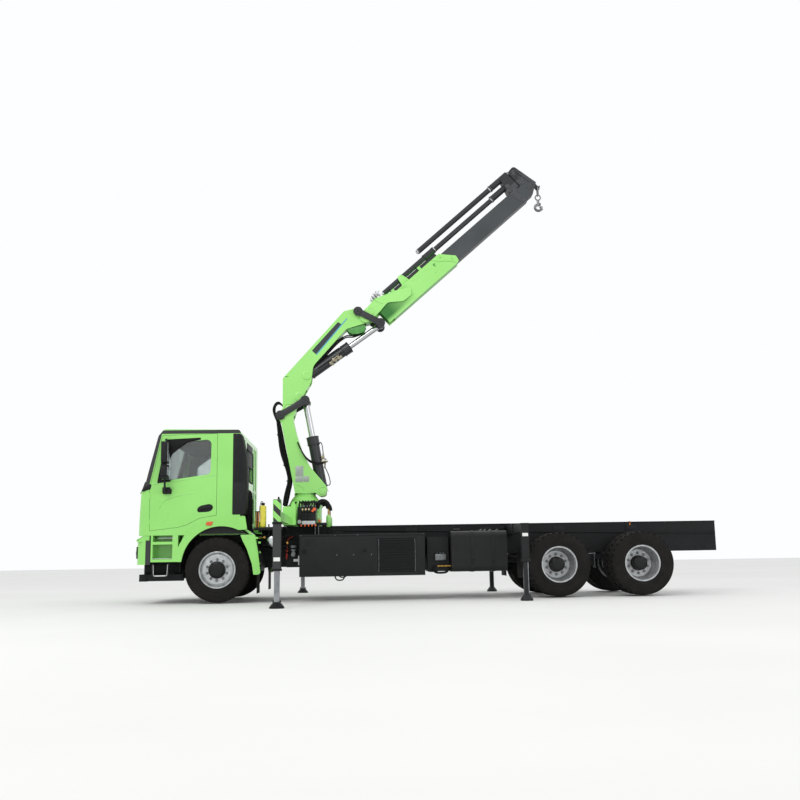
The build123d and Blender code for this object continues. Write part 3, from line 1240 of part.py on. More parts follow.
def hook():
    """Shackle, link ring and hook hanging below the head's pin, as one moving piece."""
    x, z = hook_point()
    shackle = pin_y(x, z, HOOK_PIN_R, -SHACKLE_HALF, SHACKLE_HALF)
    for side in (-1, 1):
        shackle += pin_z(x, side * (SHACKLE_HALF - SHACKLE_BAR / 2), SHACKLE_BAR,
                         z - SHACKLE_DROP, z + SHACKLE_BAR)
    shackle += pin_y(x, z - SHACKLE_DROP, SHACKLE_BAR, -SHACKLE_HALF, SHACKLE_HALF)
    ring_z = z - SHACKLE_DROP - LINK_RING_R
    ring = Pos(x, 0, ring_z) * Rot(90, 0, 0) * Torus(LINK_RING_R, LINK_RING_BAR)
    top = ring_z - LINK_RING_R
    shank = pin_z(x, 0, HOOK_BAR, top - HOOK_SHANK, top)
    bowl_z = top - HOOK_SHANK - HOOK_BOWL_R / 2
    bowl = Pos(x, 0, bowl_z) * Rot(90, 0, 0) * Torus(HOOK_BOWL_R, HOOK_BAR)
    bowl -= block(x, x + 2 * HOOK_BOWL_R, -HOOK_BOWL_R, HOOK_BOWL_R, bowl_z + HOOK_BAR,
                  bowl_z + 2 * HOOK_BOWL_R)
    return shackle + ring + shank + bowl


MIRROR_HALF = 30.0
MIRROR_X0 = -900.0
MIRROR_X1 = -800.0
MIRROR_LOW = 2027.0
MIRROR_MID = 2257.0
MIRROR_TOP = 2640.0
MIRROR_ARM_Z = 1840.0
MIRROR_ARM_R = 14.0
MIRROR_BASE = 60.0


def mirror_set(side):
    """Two mirror heads on one arm, its base bolted to the door below the window."""
    y = side * MIRROR_Y
    x = (MIRROR_X0 + MIRROR_X1) / 2
    heads = block(MIRROR_X0, MIRROR_X1, y - MIRROR_HALF * 3, y + MIRROR_HALF * 3,
                  MIRROR_MID + MIRROR_HALF, MIRROR_TOP)
    heads += block(MIRROR_X0, MIRROR_X1, y - MIRROR_HALF * 3, y + MIRROR_HALF * 3,
                   MIRROR_LOW, MIRROR_MID)
    heads += pin_z(x, y, MIRROR_ARM_R, MIRROR_ARM_Z, MIRROR_TOP)
    heads += pin_y(x, MIRROR_ARM_Z + MIRROR_ARM_R, MIRROR_ARM_R, side * HALF_WIDTH, y)
    heads += block(x - MIRROR_BASE, x + MIRROR_BASE, side * HALF_WIDTH,
                   side * (HALF_WIDTH + MIRROR_HALF), MIRROR_ARM_Z - MIRROR_HALF,
                   MIRROR_ARM_Z + MIRROR_BASE)
    return heads


def build():
    os.makedirs("parts", exist_ok=True)
    shell, roof, nose, screen, back_glass, doors, panes = cab_panels()
    floor_rear = CAB_FRONT + CAB_LENGTH - CAB_WALL
    floor = cab_hull(CAB_WALL) & block(CAB_FRONT, floor_rear, -HALF_WIDTH, HALF_WIDTH,
                                       CAB_LOW, FLOOR_TOP)
    save("cab_shell", shell)
    save("cab_roof", roof)
    save("cab_nose", nose)
    for side in (-1, 1):
        floor -= arch_well(ARCH_LINER_R + ARCH_WALL + SEAT, side * HALF_WIDTH,
                           side * (HALF_WIDTH - ARCH_DEPTH - ARCH_WALL - SEAT))
    save("cab_floor", floor)
    save("cab_glass", screen, back_glass)
    save("seats", *seats())
    save("dashboard", dashboard())
    save("bumper", bumper())
    save("wheel_arches", *wheel_arches())
    save("frame_rails", frame_rails())
    save("subframe", subframe())
    springs = leaf_spring(0, SPRING_HALF_LENGTH, FRONT_SPRING_TOP)
    springs += leaf_spring(TRUNNION_X, REAR_AXLE_2 - TRUNNION_X + SPRING_SEAT_HALF,
                           REAR_SPRING_TOP)
    save("leaf_springs", *springs)
    save("front_axle", front_axle())
    save("rear_axles", *rear_axles())
    save("engine_block", engine())
    save("side_cabinets", *side_cabinets())
    save("fuel_tanks", *fuel_tanks())
    save("crane_base", crane_base())
    save("control_stand", *control_stand())
    for name, side, door, pane in zip(("left", "right"), (-1, 1), doors, panes):
        save(f"door_{name}", door)
        save(f"door_glass_{name}", pane)
        save(f"mirror_{name}", mirror_set(side))
        save(f"knuckle_{name}", knuckle(side))
        save(f"front_rim_{name}", front_wheel(side))
        save(f"front_tyre_{name}", place_wheel(tyre(TRACK_HALF), 0, side))
        for number, x in ((1, REAR_AXLE_1), (2, REAR_AXLE_2)):
            save(f"rear_rims_{number}_{name}", rear_wheel(x, side))
            pair_of_tyres = [place_wheel(tyre(y), x, side)
                             for y in (TRACK_HALF, TRACK_HALF - DUAL_SPACING)]
            save(f"rear_tyres_{number}_{name}", *pair_of_tyres)
        low = LEFT_BEAM_LOW if side < 0 else LEFT_BEAM_LOW + BEAM_STEP
        save(f"front_beam_{name}",
             beam_piece(side, BEAM_X, BEAM_HALF_WIDTH, low, FRONT_LEG_Y, FRONT_GRIP,
                        TUNNEL_HALF, FRONT_LEG_TOP, FRONT_LEG_COLLAR))
        save(f"front_leg_{name}",
             leg_piece(side, BEAM_X, FRONT_LEG_Y, FRONT_LEG_COLLAR + FRONT_LEG_GRIP, FOOT_R))
        save(f"rear_beam_{name}",
             beam_piece(side, REAR_BEAM_X, REAR_BEAM_HALF_WIDTH, REAR_BEAM_LOW, REAR_LEG_Y,
                        REAR_GRIP, REAR_TUNNEL_HALF, REAR_LEG_TOP, REAR_LEG_COLLAR))
        save(f"rear_leg_{name}",
             leg_piece(side, REAR_BEAM_X, REAR_LEG_Y, REAR_LEG_COLLAR + REAR_LEG_GRIP,
                       REAR_FOOT_R))
    save("column", column())
    save("inner_boom", inner_boom())
    save("outer_boom", outer_boom())
    save("extension_1", extension_1())
    save("extension_2", extension_2())
    save("hook", hook())
    save("lift_links", *link_pair(A1, B1, BOOM_HALF + CLEAR))
    save("lift_barrel", cylinder_barrel(D1, B1, LIFT_BARREL_R, LIFT_BARREL_LENGTH, LIFT_ROD_R))
    save("lift_rod", cylinder_rod(D1, B1, LIFT_ROD_R, LIFT_BARREL_LENGTH - 3 * EYE_R))
    save("fold_links", *link_pair(A2, B2, BOOM_HALF + 2 * CLEAR + LINK_PLATE))
    save("fold_barrel", cylinder_barrel(D2, B2, FOLD_BARREL_R, FOLD_BARREL_LENGTH, FOLD_ROD_R))
    save("fold_rod", cylinder_rod(D2, B2, FOLD_ROD_R, FOLD_BARREL_LENGTH - 3 * EYE_R))


build()
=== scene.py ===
import math

import bmesh
import bpy
from mathutils import Matrix, Vector


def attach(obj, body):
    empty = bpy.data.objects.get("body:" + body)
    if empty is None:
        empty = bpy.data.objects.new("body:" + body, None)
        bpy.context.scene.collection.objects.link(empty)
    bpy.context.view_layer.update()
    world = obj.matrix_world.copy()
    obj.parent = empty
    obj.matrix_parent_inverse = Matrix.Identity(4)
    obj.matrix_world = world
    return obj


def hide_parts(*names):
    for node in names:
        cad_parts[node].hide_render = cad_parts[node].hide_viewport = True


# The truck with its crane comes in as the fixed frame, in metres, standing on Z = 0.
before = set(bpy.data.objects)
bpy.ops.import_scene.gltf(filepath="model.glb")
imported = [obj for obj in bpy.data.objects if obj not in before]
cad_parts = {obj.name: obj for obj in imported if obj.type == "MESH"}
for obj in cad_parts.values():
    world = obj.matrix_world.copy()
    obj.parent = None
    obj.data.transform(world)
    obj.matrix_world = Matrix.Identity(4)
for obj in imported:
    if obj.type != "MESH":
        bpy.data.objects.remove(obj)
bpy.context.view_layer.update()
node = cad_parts


# Camera
# The picture was taken from the near side at about waist height, a little ahead of the
# machine's middle, turned slightly to the rear and tilted up to take in the boom.
EYE = Vector((-1.2545, -16.842, 0.716))
YAW, PITCH, ROLL = 0.042, 0.166, 0.016
FOCAL_SHARE = 932.675 / 800.0    # focal length over the picture's width
SENSOR_MM = 36.0

look = Vector((math.sin(YAW) * math.cos(PITCH), math.cos(YAW) * math.cos(PITCH), math.sin(PITCH)))
right = Vector((math.cos(YAW), -math.sin(YAW), 0.0))
up = right.cross(look)
turned_right = right * math.cos(ROLL) - up * math.sin(ROLL)
turned_up = right * math.sin(ROLL) + up * math.cos(ROLL)
camera = bpy.data.objects.new("camera", bpy.data.cameras.new("camera"))
camera.data.sensor_width = SENSOR_MM
camera.data.lens = SENSOR_MM * FOCAL_SHARE
camera.data.clip_end = 200.0
axes = Matrix((turned_right, turned_up, -look)).transposed()
camera.matrix_world = Matrix.Translation(EYE) @ axes.to_4x4()
bpy.context.scene.collection.objects.link(camera)
bpy.context.scene.camera = camera


# Frame rails and subframe
# Pressed C rails and folded box bearers in steel, riveted and bolted together and sprayed
# black after assembly. Chassis paint is half matt and shows road dust and a soft ripple.
FRONT_AXLE_X = -3.6385           # metres; every other length here is in millimetres
RAIL_Y = 430                     # outer face of each rail
RIVET_PITCH = 160
TIE_PLACES = range(1950, 8400, 1290)
SIDES = ((-1, "left"), (1, "right"))
FLANKS = ((-1, "near"), (1, "far"))


def linear(hex_colour):
    """An sRGB hex colour in linear light, with alpha."""
    channels = [int(hex_colour[i : i + 2], 16) / 255 for i in (1, 3, 5)]
    return [c / 12.92 if c <= 0.04045 else ((c + 0.055) / 1.055) ** 2.4 for c in channels] + [1.0]


def add_node(tree, kind, inputs=None, **settings):
    """One node with its settings; an input is a value or another node's output."""
    added = tree.nodes.new(kind)
    for name, value in settings.items():
        setattr(added, name, value)
    for name, value in (inputs or {}).items():
        if isinstance(value, bpy.types.NodeSocket):
            tree.links.new(value, added.inputs[name])
        else:
            added.inputs[name].default_value = value
    return added


def graded(tree, fac, stops, hard=False):
    """A colour that runs through (position, colour) stops, or steps between them."""
    added = add_node(tree, "ShaderNodeValToRGB", {"Fac": fac})
    ramp = added.color_ramp
    ramp.interpolation = "CONSTANT" if hard else "LINEAR"
    while len(ramp.elements) < len(stops):
        ramp.elements.new(0.5)
    for element, (position, colour) in zip(ramp.elements, stops):
        element.position = position
        element.color = linear(colour)
    return added.outputs["Color"]


def laid_over(tree, share, under, over):
    """One colour over another, by a share from 0 to 1."""
    added = tree.nodes.new("ShaderNodeMix")
    added.data_type = "RGBA"
    for socket, value in ((added.inputs[0], share), (added.inputs[6], under), (added.inputs[7], over)):
        if isinstance(value, bpy.types.NodeSocket):
            tree.links.new(value, socket)
        else:
            socket.default_value = value
    return added.outputs[2]


def surface(name, colour, shade, patch_mm, rough, spread=0.12, metallic=0.0, coat=0.0, grain_mm=3.0,
        grain=0.1, specular=0.5, dust=None, underside_shade=None, bands=()):
    """A paint, plastic or metal: its colour drifts in patches, a fine grain lifts it, dust
    settles on what faces up, and what faces down is darkened as painted shade. Each band is a
    colour with a function that makes its mask."""
    made = bpy.data.materials.new(name)
    made.use_nodes = True
    tree = made.node_tree
    shader = tree.nodes["Principled BSDF"]
    place = add_node(tree, "ShaderNodeTexCoord").outputs["Object"]
    patches = add_node(tree, "ShaderNodeTexNoise", {"Vector": place, "Scale": 1000 / patch_mm, "Detail": 5.0})
    tone = graded(tree, patches.outputs["Fac"], [(0.32, shade), (0.68, colour)])
    for band_colour, mask in bands:
        tone = laid_over(tree, mask(tree, place), tone, linear(band_colour))
    # Dust lightens what faces up; the underside colour darkens what faces down as painted shade.
    for layer, start, full, share in ((dust, 0.2, 1.0, 0.3), (underside_shade, -0.3, -0.9, 0.85)):
        if layer:
            facing = add_node(tree, "ShaderNodeSeparateXYZ", {"Vector": add_node(tree,
                    "ShaderNodeNewGeometry").outputs["Normal"]})
            dust_and_shade_share = add_node(tree, "ShaderNodeMapRange", {"Value": facing.outputs["Z"], "From Min": start,
                    "From Max": full, "To Max": share})
            tone = laid_over(tree, dust_and_shade_share.outputs["Result"], tone, linear(layer))
    tree.links.new(tone, shader.inputs["Base Color"])
    gloss = add_node(tree, "ShaderNodeMapRange", {"Value": patches.outputs["Fac"],
            "To Min": max(rough - spread / 2, 0.02), "To Max": rough + spread / 2})
    tree.links.new(gloss.outputs["Result"], shader.inputs["Roughness"])
    fine = add_node(tree, "ShaderNodeTexNoise", {"Vector": place, "Scale": 1000 / grain_mm, "Detail": 2.0})
    lift = add_node(tree, "ShaderNodeBump", {"Height": fine.outputs["Fac"], "Strength": grain,
            "Distance": 0.002})
    tree.links.new(lift.outputs["Normal"], shader.inputs["Normal"])
    shader.inputs["Metallic"].default_value = metallic
    if not metallic:
        shader.inputs["IOR"].default_value = 1.5
    shader.inputs["Specular IOR Level"].default_value = specular
    shader.inputs["Coat Weight"].default_value = coat
    shader.inputs["Coat Roughness"].default_value = 0.06
    return made


def dress(material, *names):
    """Gives solids of the frame their material; their shape and place stay."""
    for name in names:
        node[name].data.materials.clear()
        node[name].data.materials.append(material)


def at(x, y, z):
    """A point in millimetres from the front axle's middle, near side negative, above ground."""
    return Vector((FRONT_AXLE_X + x / 1000, y / 1000, z / 1000))


def add_box(build, x0, x1, y0, y1, z0, z1, bevel_mm=0, segments=2):
    """A block between two planes each way, its edges rounded over."""
    low = at(min(x0, x1), min(y0, y1), min(z0, z1))
    high = at(max(x0, x1), max(y0, y1), max(z0, z1))
    scale = Matrix.Diagonal((*(high - low), 1.0))
    made = bmesh.ops.create_cube(build, size=1.0, matrix=Matrix.Translation((low + high) / 2) @ scale)
    if bevel_mm:
        edges = list(dict.fromkeys(edge for vert in made["verts"] for edge in vert.link_edges))
        bmesh.ops.bevel(build, geom=edges, offset=bevel_mm / 1000, segments=segments, profile=0.5,
                affect="EDGES", material=-1)


def add_rod(build, start, end, radius_mm, end_radius_mm=None, sides=20, bevel_mm=0):
    """A round bar or tapered pin from one point to another, its rims rounded over."""
    start, end = at(*start), at(*end)
    turn = (end - start).to_track_quat("Z", "Y").to_matrix().to_4x4()
    last = radius_mm if end_radius_mm is None else end_radius_mm
    made = bmesh.ops.create_cone(build, cap_ends=True, segments=sides, radius1=radius_mm / 1000,
            radius2=last / 1000, depth=(end - start).length, matrix=Matrix.Translation((start
            + end) / 2) @ turn)
    if bevel_mm:
        caps = dict.fromkeys(face for vert in made["verts"] for face in vert.link_faces
                if len(face.verts) > 4)
        edges = list(dict.fromkeys(edge for face in caps for edge in face.edges))
        bmesh.ops.bevel(build, geom=edges, offset=bevel_mm / 1000, segments=2, profile=0.5, affect="EDGES",
                material=-1)


def add_turned(build, start, direction, profile, sides=40, sweep=360.0):
    """A turned part: its (along, radius) steps in millimetres, spun round its axis."""
    start = at(*start)
    direction = Vector(direction).normalized()
    aside = direction.orthogonal().normalized()
    verts = [build.verts.new(start + direction * (along / 1000) + aside * (radius / 1000)) for along,
            radius in profile]
    edges = [build.edges.new(pair) for pair in zip(verts, verts[1:])]
    bmesh.ops.spin(build, geom=verts + edges, cent=start, axis=direction, dvec=(0, 0, 0),
            angle=math.radians(sweep), steps=sides, use_merge=sweep == 360.0)


def add_bolt(build, place, direction, size_mm=12):
    """A hexagon bolt head on its washer."""
    point = Vector(place)
    step = Vector(direction).normalized() * size_mm
    add_rod(build, point, point + step * 0.25, size_mm * 1.05, sides=12)
    add_rod(build, point, point + step * 0.85, size_mm * 0.85, sides=6)


def ring_of(count, radius, first=0.0):
    """Offsets of points spaced evenly round a circle, the first one turned by a share of a step."""
    turns = [2 * math.pi * (k + first) / count for k in range(count)]
    return [(radius * math.cos(turn), radius * math.sin(turn)) for turn in turns]


def outward(side, plane, points):
    """Points on either side of the truck, their y measured outwards from an upright plane."""
    return [(x, side * (plane + y), z) for x, y, z in points]


def outline_face(build, corners, y, round_mm):
    """One flat face on an (x, z) outline in the side view, its corners rounded."""
    before = set(build.faces)
    verts = [build.verts.new(at(x, y, z)) for x, z in corners]
    build.faces.new(verts)
    if round_mm:
        bmesh.ops.bevel(build, geom=verts, offset=round_mm / 1000, segments=5, profile=0.5,
                affect="VERTICES", material=-1)
    return [face for face in build.faces if face not in before][0]


def thicken(build, faces, y0, y1, bevel_mm):
    """Draws faces out from y0 to y1 and rounds the edges of the far side."""
    made = bmesh.ops.extrude_face_region(build, geom=faces)
    moved = [item for item in made["geom"] if isinstance(item, bmesh.types.BMVert)]
    bmesh.ops.translate(build, verts=moved, vec=(0, (y1 - y0) / 1000, 0))
    if bevel_mm:
        tops = dict.fromkeys(item for item in made["geom"] if isinstance(item, bmesh.types.BMFace))
        rims = [edge for face in tops for edge in face.edges
                if sum(other in tops for other in edge.link_faces) == 1]
        bmesh.ops.bevel(build, geom=list(dict.fromkeys(rims)), offset=bevel_mm / 1000, segments=2,
                profile=0.5, affect="EDGES", material=-1)


def add_plate(build, corners, y0, y1, bevel_mm=0, round_mm=0):
    """A plate cut to its (x, z) outline in the side view and as thick as from y0 to y1."""
    thicken(build, [outline_face(build, corners, y0, round_mm)], y0, y1, bevel_mm)


def add_frame(build, corners, y0, y1, width_mm, bevel_mm=0, round_mm=0):
    """A ring cut to an outline in the side view, such as a window's rubber."""
    face = outline_face(build, corners, y0, round_mm)
    ring = bmesh.ops.inset_region(build, faces=[face], thickness=width_mm / 1000,
            use_even_offset=True)["faces"]
    bmesh.ops.delete(build, geom=[face], context="FACES_ONLY")
    thicken(build, ring, y0, y1, bevel_mm)


def add_tube(build, points, radius_mm, sides=10, closed=False):
    """A bent bar or pipe that passes smoothly near its points, read from a NURBS line."""
    line = bpy.data.curves.new("route", "CURVE")
    line.dimensions = "3D"
    spline = line.splines.new("NURBS")
    spline.points.add(len(points) - 1)
    for control, point in zip(spline.points, points):
        control.co = (*at(*point), 1.0)
    spline.order_u = 3
    spline.use_endpoint_u = not closed
    spline.use_cyclic_u = closed
    spline.resolution_u = 6
    line.bevel_depth = radius_mm / 1000
    line.bevel_resolution = max(sides // 4, 1)
    line.use_fill_caps = not closed
    carrier = bpy.data.objects.new("route", line)
    bent = bpy.data.meshes.new_from_object(carrier)
    build.from_mesh(bent)
    bpy.data.objects.remove(carrier)
    bpy.data.curves.remove(line)
    bpy.data.meshes.remove(bent)


def piece(name, build, body, material, crease=35.0):
    """Makes a built piece an object: merged, facing out, smooth but at its creases, on its body."""
    bmesh.ops.remove_doubles(build, verts=build.verts, dist=1e-5)
    bmesh.ops.recalc_face_normals(build, faces=build.faces)
    mesh = bpy.data.meshes.new(name)
    build.to_mesh(mesh)
    build.free()
    mesh.polygons.foreach_set("use_smooth", [True] * len(mesh.polygons))
    mesh.set_sharp_from_angle(angle=math.radians(crease))
    mesh.materials.append(material)
    made = bpy.data.objects.new(name, mesh)
    bpy.context.scene.collection.objects.link(made)
    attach(made, body)
    return made


chassis_paint = surface("black_chassis_paint", "#191A1C", "#101112", 260, 0.5, 0.16, specular=0.2,
        grain_mm=9, grain=0.12, dust="#4A4843")
zinc_bolts = surface("zinc_plated_bolts", "#8E9092", "#5F6163", 30, 0.42, metallic=0.9, grain_mm=2)
dress(chassis_paint, "frame_rails", "subframe")

rivets = bmesh.new()
for side in (-1, 1):
    for x in range(880, 8560, RIVET_PITCH):
        for z in (790, 985):
            add_bolt(rivets, (x, side * RAIL_Y, z), (0, side, 0), 11)
    for x in TIE_PLACES:
        for aside in (-55, 0, 55):
            add_bolt(rivets, (x + aside, side * (RAIL_Y + 14), 1120), (0, side, 0), 13)
piece("frame_rivets", rivets, "truck", chassis_paint)

ties = bmesh.new()
for side in (-1, 1):
    for x in TIE_PLACES:
        add_plate(ties, [(x - 95, 1200), (x + 95, 1200), (x + 95, 1080), (x + 60, 900), (x - 60, 900),
                (x - 95, 1080)], side * RAIL_Y, side * (RAIL_Y + 14), 2)
    add_plate(ties, [(1845, 1192), (8598, 1048), (8598, 1032), (1845, 1170)], side * RAIL_Y,
            side * (RAIL_Y + 22), 3)
    add_plate(ties, [(1700, 1255), (8610, 1255), (8610, 1243), (1700, 1243)], side * RAIL_Y,
            side * (RAIL_Y + 12), 2)
piece("subframe_tie_plates", ties, "truck", chassis_paint)

# The orange webbing strap that hangs over the rear of the near rail.
webbing = surface("woven_polyester_webbing", "#E0803A", "#B8622A", 14, 0.85, grain_mm=4, grain=0.5)
strap = bmesh.new()
add_box(strap, 7085, 7105, -RAIL_Y - 4, -RAIL_Y - 1, 1000, 1262, 1)
add_box(strap, 7085, 7105, -RAIL_Y - 4, -RAIL_Y + 70, 1258, 1262, 1)
piece("lashing_strap", strap, "truck", webbing)


# Axles and springs
# A dropped forged beam in front, two driven axles with round housings behind, on leaf packs
# clamped by U-bolts. Everything is black paint under dust, with bare threads on the bolts.
WHEEL_Z = 542.5
REAR_AXLES = (5650, 7050)
TRUNNION_X = 6350                # middle of the rear springs, between the axles
SPRING_Y = 481
dress(chassis_paint, "front_axle", "rear_axles", "leaf_springs", "knuckle_left", "knuckle_right")
engine_grey = surface("cast_iron_engine_paint", "#2C2E30", "#1C1D1F", 90, 0.6, specular=0.2, grain_mm=6,
        grain=0.4, dust="#55524C")
dress(engine_grey, "engine_block")

clamps = bmesh.new()
for side in (-1, 1):
    for x, low, top in ((0, 470, 590), (TRUNNION_X, 480, 720)):
        for along in (-62, 62):
            for across in (-52, 52):
                y = side * SPRING_Y + across
                add_rod(clamps, (x + along, y, low), (x + along, y, top), 10, sides=10)
                add_bolt(clamps, (x + along, y, low), (0, 0, -1), 17)
            add_rod(clamps, (x + along, side * SPRING_Y - 52, top), (x + along, side * SPRING_Y + 52, top),
                    10, sides=10)
        add_box(clamps, x - 85, x + 85, side * SPRING_Y - 66, side * SPRING_Y + 66, top - 16, top, 5)
    for along in (-430, -250, 250, 430):
        for x, z in ((0, 585 - abs(along) * 0.02), (TRUNNION_X, 700)):
            add_box(clamps, x + along - 15, x + along + 15, side * SPRING_Y - 49, side * SPRING_Y + 49,
                    z - 40, z + 4, 2)
piece("spring_clamps", clamps, "truck", zinc_bolts)

dampers = bmesh.new()
for side in (-1, 1):
    add_rod(dampers, (210, side * 560, 470), (260, side * 545, 760), 32, bevel_mm=5)
    add_rod(dampers, (260, side * 545, 760), (285, side * 538, 930), 40, bevel_mm=5)
    add_box(dampers, 250, 320, side * RAIL_Y, side * 560, 900, 960, 4)
    for x in REAR_AXLES:
        add_rod(dampers, (x - 150, side * 380, 640), (x - 300, side * 380, 700), 72, 78, sides=28, bevel_mm=8)
        add_rod(dampers, (x - 190, side * 380, 656), (x - 205, side * 380, 662), 84, sides=28, bevel_mm=3)
piece("dampers_and_brake_chambers", dampers, "truck", engine_grey)


# Tyres
# Radial truck tyres: black rubber from a mould, with fine rings and a buffed dusty sidewall,
# a block tread behind and ribs cut by cross grooves in front.
TREAD_DEPTH = 15
BLOCK_TAPER = 3.5                # how far each block draws in towards its top
TYRE_Y, TWIN_Y = 1100, 760       # middle of each outer and inner tyre
rubber = surface("moulded_tyre_rubber", "#1E1C1B", "#131211", 120, 0.82, 0.1, specular=0.2, grain_mm=5,
        grain=0.35, dust="#302D2A")
# From one bead round the crown to the other: across from the middle, radius.
CARCASS = ((-112, 292), (-124, 300), (-132, 316), (-130, 322), (-140, 352), (-141, 358), (-138, 362),
        (-149, 402), (-150, 436), (-146, 470), (-147, 476), (-141, 484), (-138, 508), (-126, 522),
        (-84, 526), (-76, 526), (-30, 527.5), (-22, 527.5), (22, 527.5), (30, 527.5), (76, 526), (84, 526),
        (126, 522), (138, 508), (141, 484), (147, 476), (146, 470), (150, 436), (149, 402), (138, 362),
        (141, 358), (140, 352), (130, 322), (132, 316), (124, 300), (112, 292))
BLOCK_ROWS = (13, 15, 17, 19, 21)       # crown strips between the grooves
SHOULDER_ROWS = (12, 22)                # lugs that run down the shoulder


def add_tyre(build, x, y, notches, cross_every):
    """One tyre: the carcass spun round, then its tread faces raised into blocks."""
    centre = at(x, y, WHEEL_Z)
    verts = [build.verts.new(centre + Vector((0, across / 1000, radius / 1000))) for across,
            radius in CARCASS]
    edges = [build.edges.new(pair) for pair in zip(verts, verts[1:])]
    before = len(build.faces)
    bmesh.ops.spin(build, geom=verts + edges, cent=centre, axis=(0, 1, 0), dvec=(0, 0, 0),
            angle=2 * math.pi, steps=notches, use_merge=True)
    build.faces.ensure_lookup_table()
    rows = len(CARCASS) - 1
    carcass = sorted(build.faces[before:], key=lambda face: face.index)
    blocks = []
    for face in carcass:
        middle = face.calc_center_median() - centre
        row = min(range(rows), key=lambda i: abs(middle.y * 1000 - (CARCASS[i][0] + CARCASS[i + 1][0]) / 2)
                + abs(math.hypot(middle.x, middle.z) * 1000 - (CARCASS[i][1] + CARCASS[i + 1][1]) / 2))
        step = round(math.atan2(middle.z, middle.x) / (2 * math.pi) * notches - 0.5) % notches
        offset = row // 2 % 2
        if row in BLOCK_ROWS and (step + offset) % cross_every:
            blocks.append(face)
        elif row in SHOULDER_ROWS and step % 2:
            blocks.append(face)
    bmesh.ops.inset_individual(build, faces=blocks, thickness=BLOCK_TAPER / 1000, depth=TREAD_DEPTH / 1000)


def make_tyre(name, body, x, places, notches, cross_every):
    """The one or two treaded tyres of a wheel, in place of its plain solid."""
    build = bmesh.new()
    for y in places:
        add_tyre(build, x, y, notches, cross_every)
    made = piece(name, build, body, rubber, crease=28)
    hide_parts(name)
    made.name = name + "_treaded"


for side, hand in SIDES:
    make_tyre("front_tyre_" + hand, "front_wheel_" + hand, 0, [side * TYRE_Y], 72, 36)
    for index, x in enumerate(REAR_AXLES, 1):
        make_tyre(f"rear_tyres_{index}_{hand}", f"rear_wheels_{index}_{hand}", x,
                [side * TYRE_Y, side * TWIN_Y], 64, 2)


# Disc wheels
# Pressed steel discs welded into rolled rims and sprayed silver, held by ten nuts on a ring.
# The front hubs stand proud in black, and the twins behind are deeply dished.
NUT_CIRCLE_R = 167.5
NUTS = 10
CAP_BOLTS = 8
RIM_EDGE_Y, RIM_EDGE_R, RIM_EDGE_BEAD = 1220, 295, 5
silver = surface("silver_wheel_enamel", "#C3C5C6", "#9FA2A4", 70, 0.36, metallic=0.55, grain_mm=4, grain=0.12)
hub_paint = surface("black_hub_paint", "#101111", "#0B0B0B", 80, 0.4, specular=0.3, grain_mm=5, grain=0.15)
brass = surface("yellow_passivated_steel", "#C9A35A", "#8E6F36", 25, 0.35, metallic=1.0, grain_mm=2)
for hand in ("left", "right"):
    dress(silver, "front_rim_" + hand, "rear_rims_1_" + hand, "rear_rims_2_" + hand)


def dress_wheel(name, body, x, side, face_y, cap):
    """Ten nuts with their studs, the black hub cap, the rolled rim edge and the valve."""
    nuts = bmesh.new()
    for along, above in ring_of(NUTS, NUT_CIRCLE_R, 0.5):
        px, pz = x + along, WHEEL_Z + above
        add_rod(nuts, (px, side * face_y, pz), (px, side * (face_y + 6), pz), 24, sides=16)
        add_rod(nuts, (px, side * face_y, pz), (px, side * (face_y + 26), pz), 18, 16.5, sides=6)
        add_rod(nuts, (px, side * face_y, pz), (px, side * (face_y + 36), pz), 10.5, sides=10)
    valve = (x + 205, side * (face_y - 10), WHEEL_Z + 60)
    add_rod(nuts, valve, (x + 225, side * (face_y + 38), WHEEL_Z + 66), 6, sides=8)
    piece(name + "_nuts", nuts, body, zinc_bolts)
    edge = bmesh.new()
    for offset in (-6, 6):
        bead = [(offset + along, RIM_EDGE_R + above) for along, above in ring_of(8, RIM_EDGE_BEAD)]
        add_turned(edge, (x, side * RIM_EDGE_Y, WHEEL_Z), (0, side, 0), bead + bead[:1], sides=64)
    piece(name + "_edge", edge, body, silver)
    dome = bmesh.new()
    add_turned(dome, (x, 0, WHEEL_Z), (0, side, 0), cap, sides=48)
    piece(name + "_cap", dome, body, hub_paint)
    rings = bmesh.new()
    for along, above in ring_of(CAP_BOLTS, cap[3][1] * 0.72):
        add_bolt(rings, (x + along, side * cap[-2][0], WHEEL_Z + above), (0, side, 0), 7)
    piece(name + "_cap_bolts", rings, body, hub_paint)


FRONT_CAP = ((1228, 140), (1243, 140), (1250, 132), (1256, 116), (1272, 112), (1284, 104), (1290, 84),
        (1291, 0))
REAR_CAP = ((946, 128), (960, 128), (968, 118), (1096, 117), (1116, 110), (1127, 92), (1131, 60), (1132, 0))
for side, hand in SIDES:
    dress_wheel("front_wheel_" + hand, "front_wheel_" + hand, 0, side, 1227, FRONT_CAP)
    for index, x in enumerate(REAR_AXLES, 1):
        dress_wheel(f"rear_wheel_{index}_{hand}", f"rear_wheels_{index}_{hand}", x, side, 944, REAR_CAP)


# Cab
# Pressed steel panels, welded, primed and sprayed with a glossy light green two-pack
# enamel. The screen surround, pillar fronts and the strip under the roof are glossy black.
CAB_HALF = 1250


def mask_past(tree, value, limit_m, above=True):
    """1 where a coordinate is past a limit in metres, else 0."""
    added = add_node(tree, "ShaderNodeMath", {0: value, 1: limit_m}, operation="GREATER_THAN"
            if above else "LESS_THAN")
    return added.outputs[0]


def both(tree, *masks):
    """1 where every mask is 1."""
    joined = masks[0]
    for mask in masks[1:]:
        joined = add_node(tree, "ShaderNodeMath", {0: joined, 1: mask}, operation="MULTIPLY").outputs[0]
    return joined


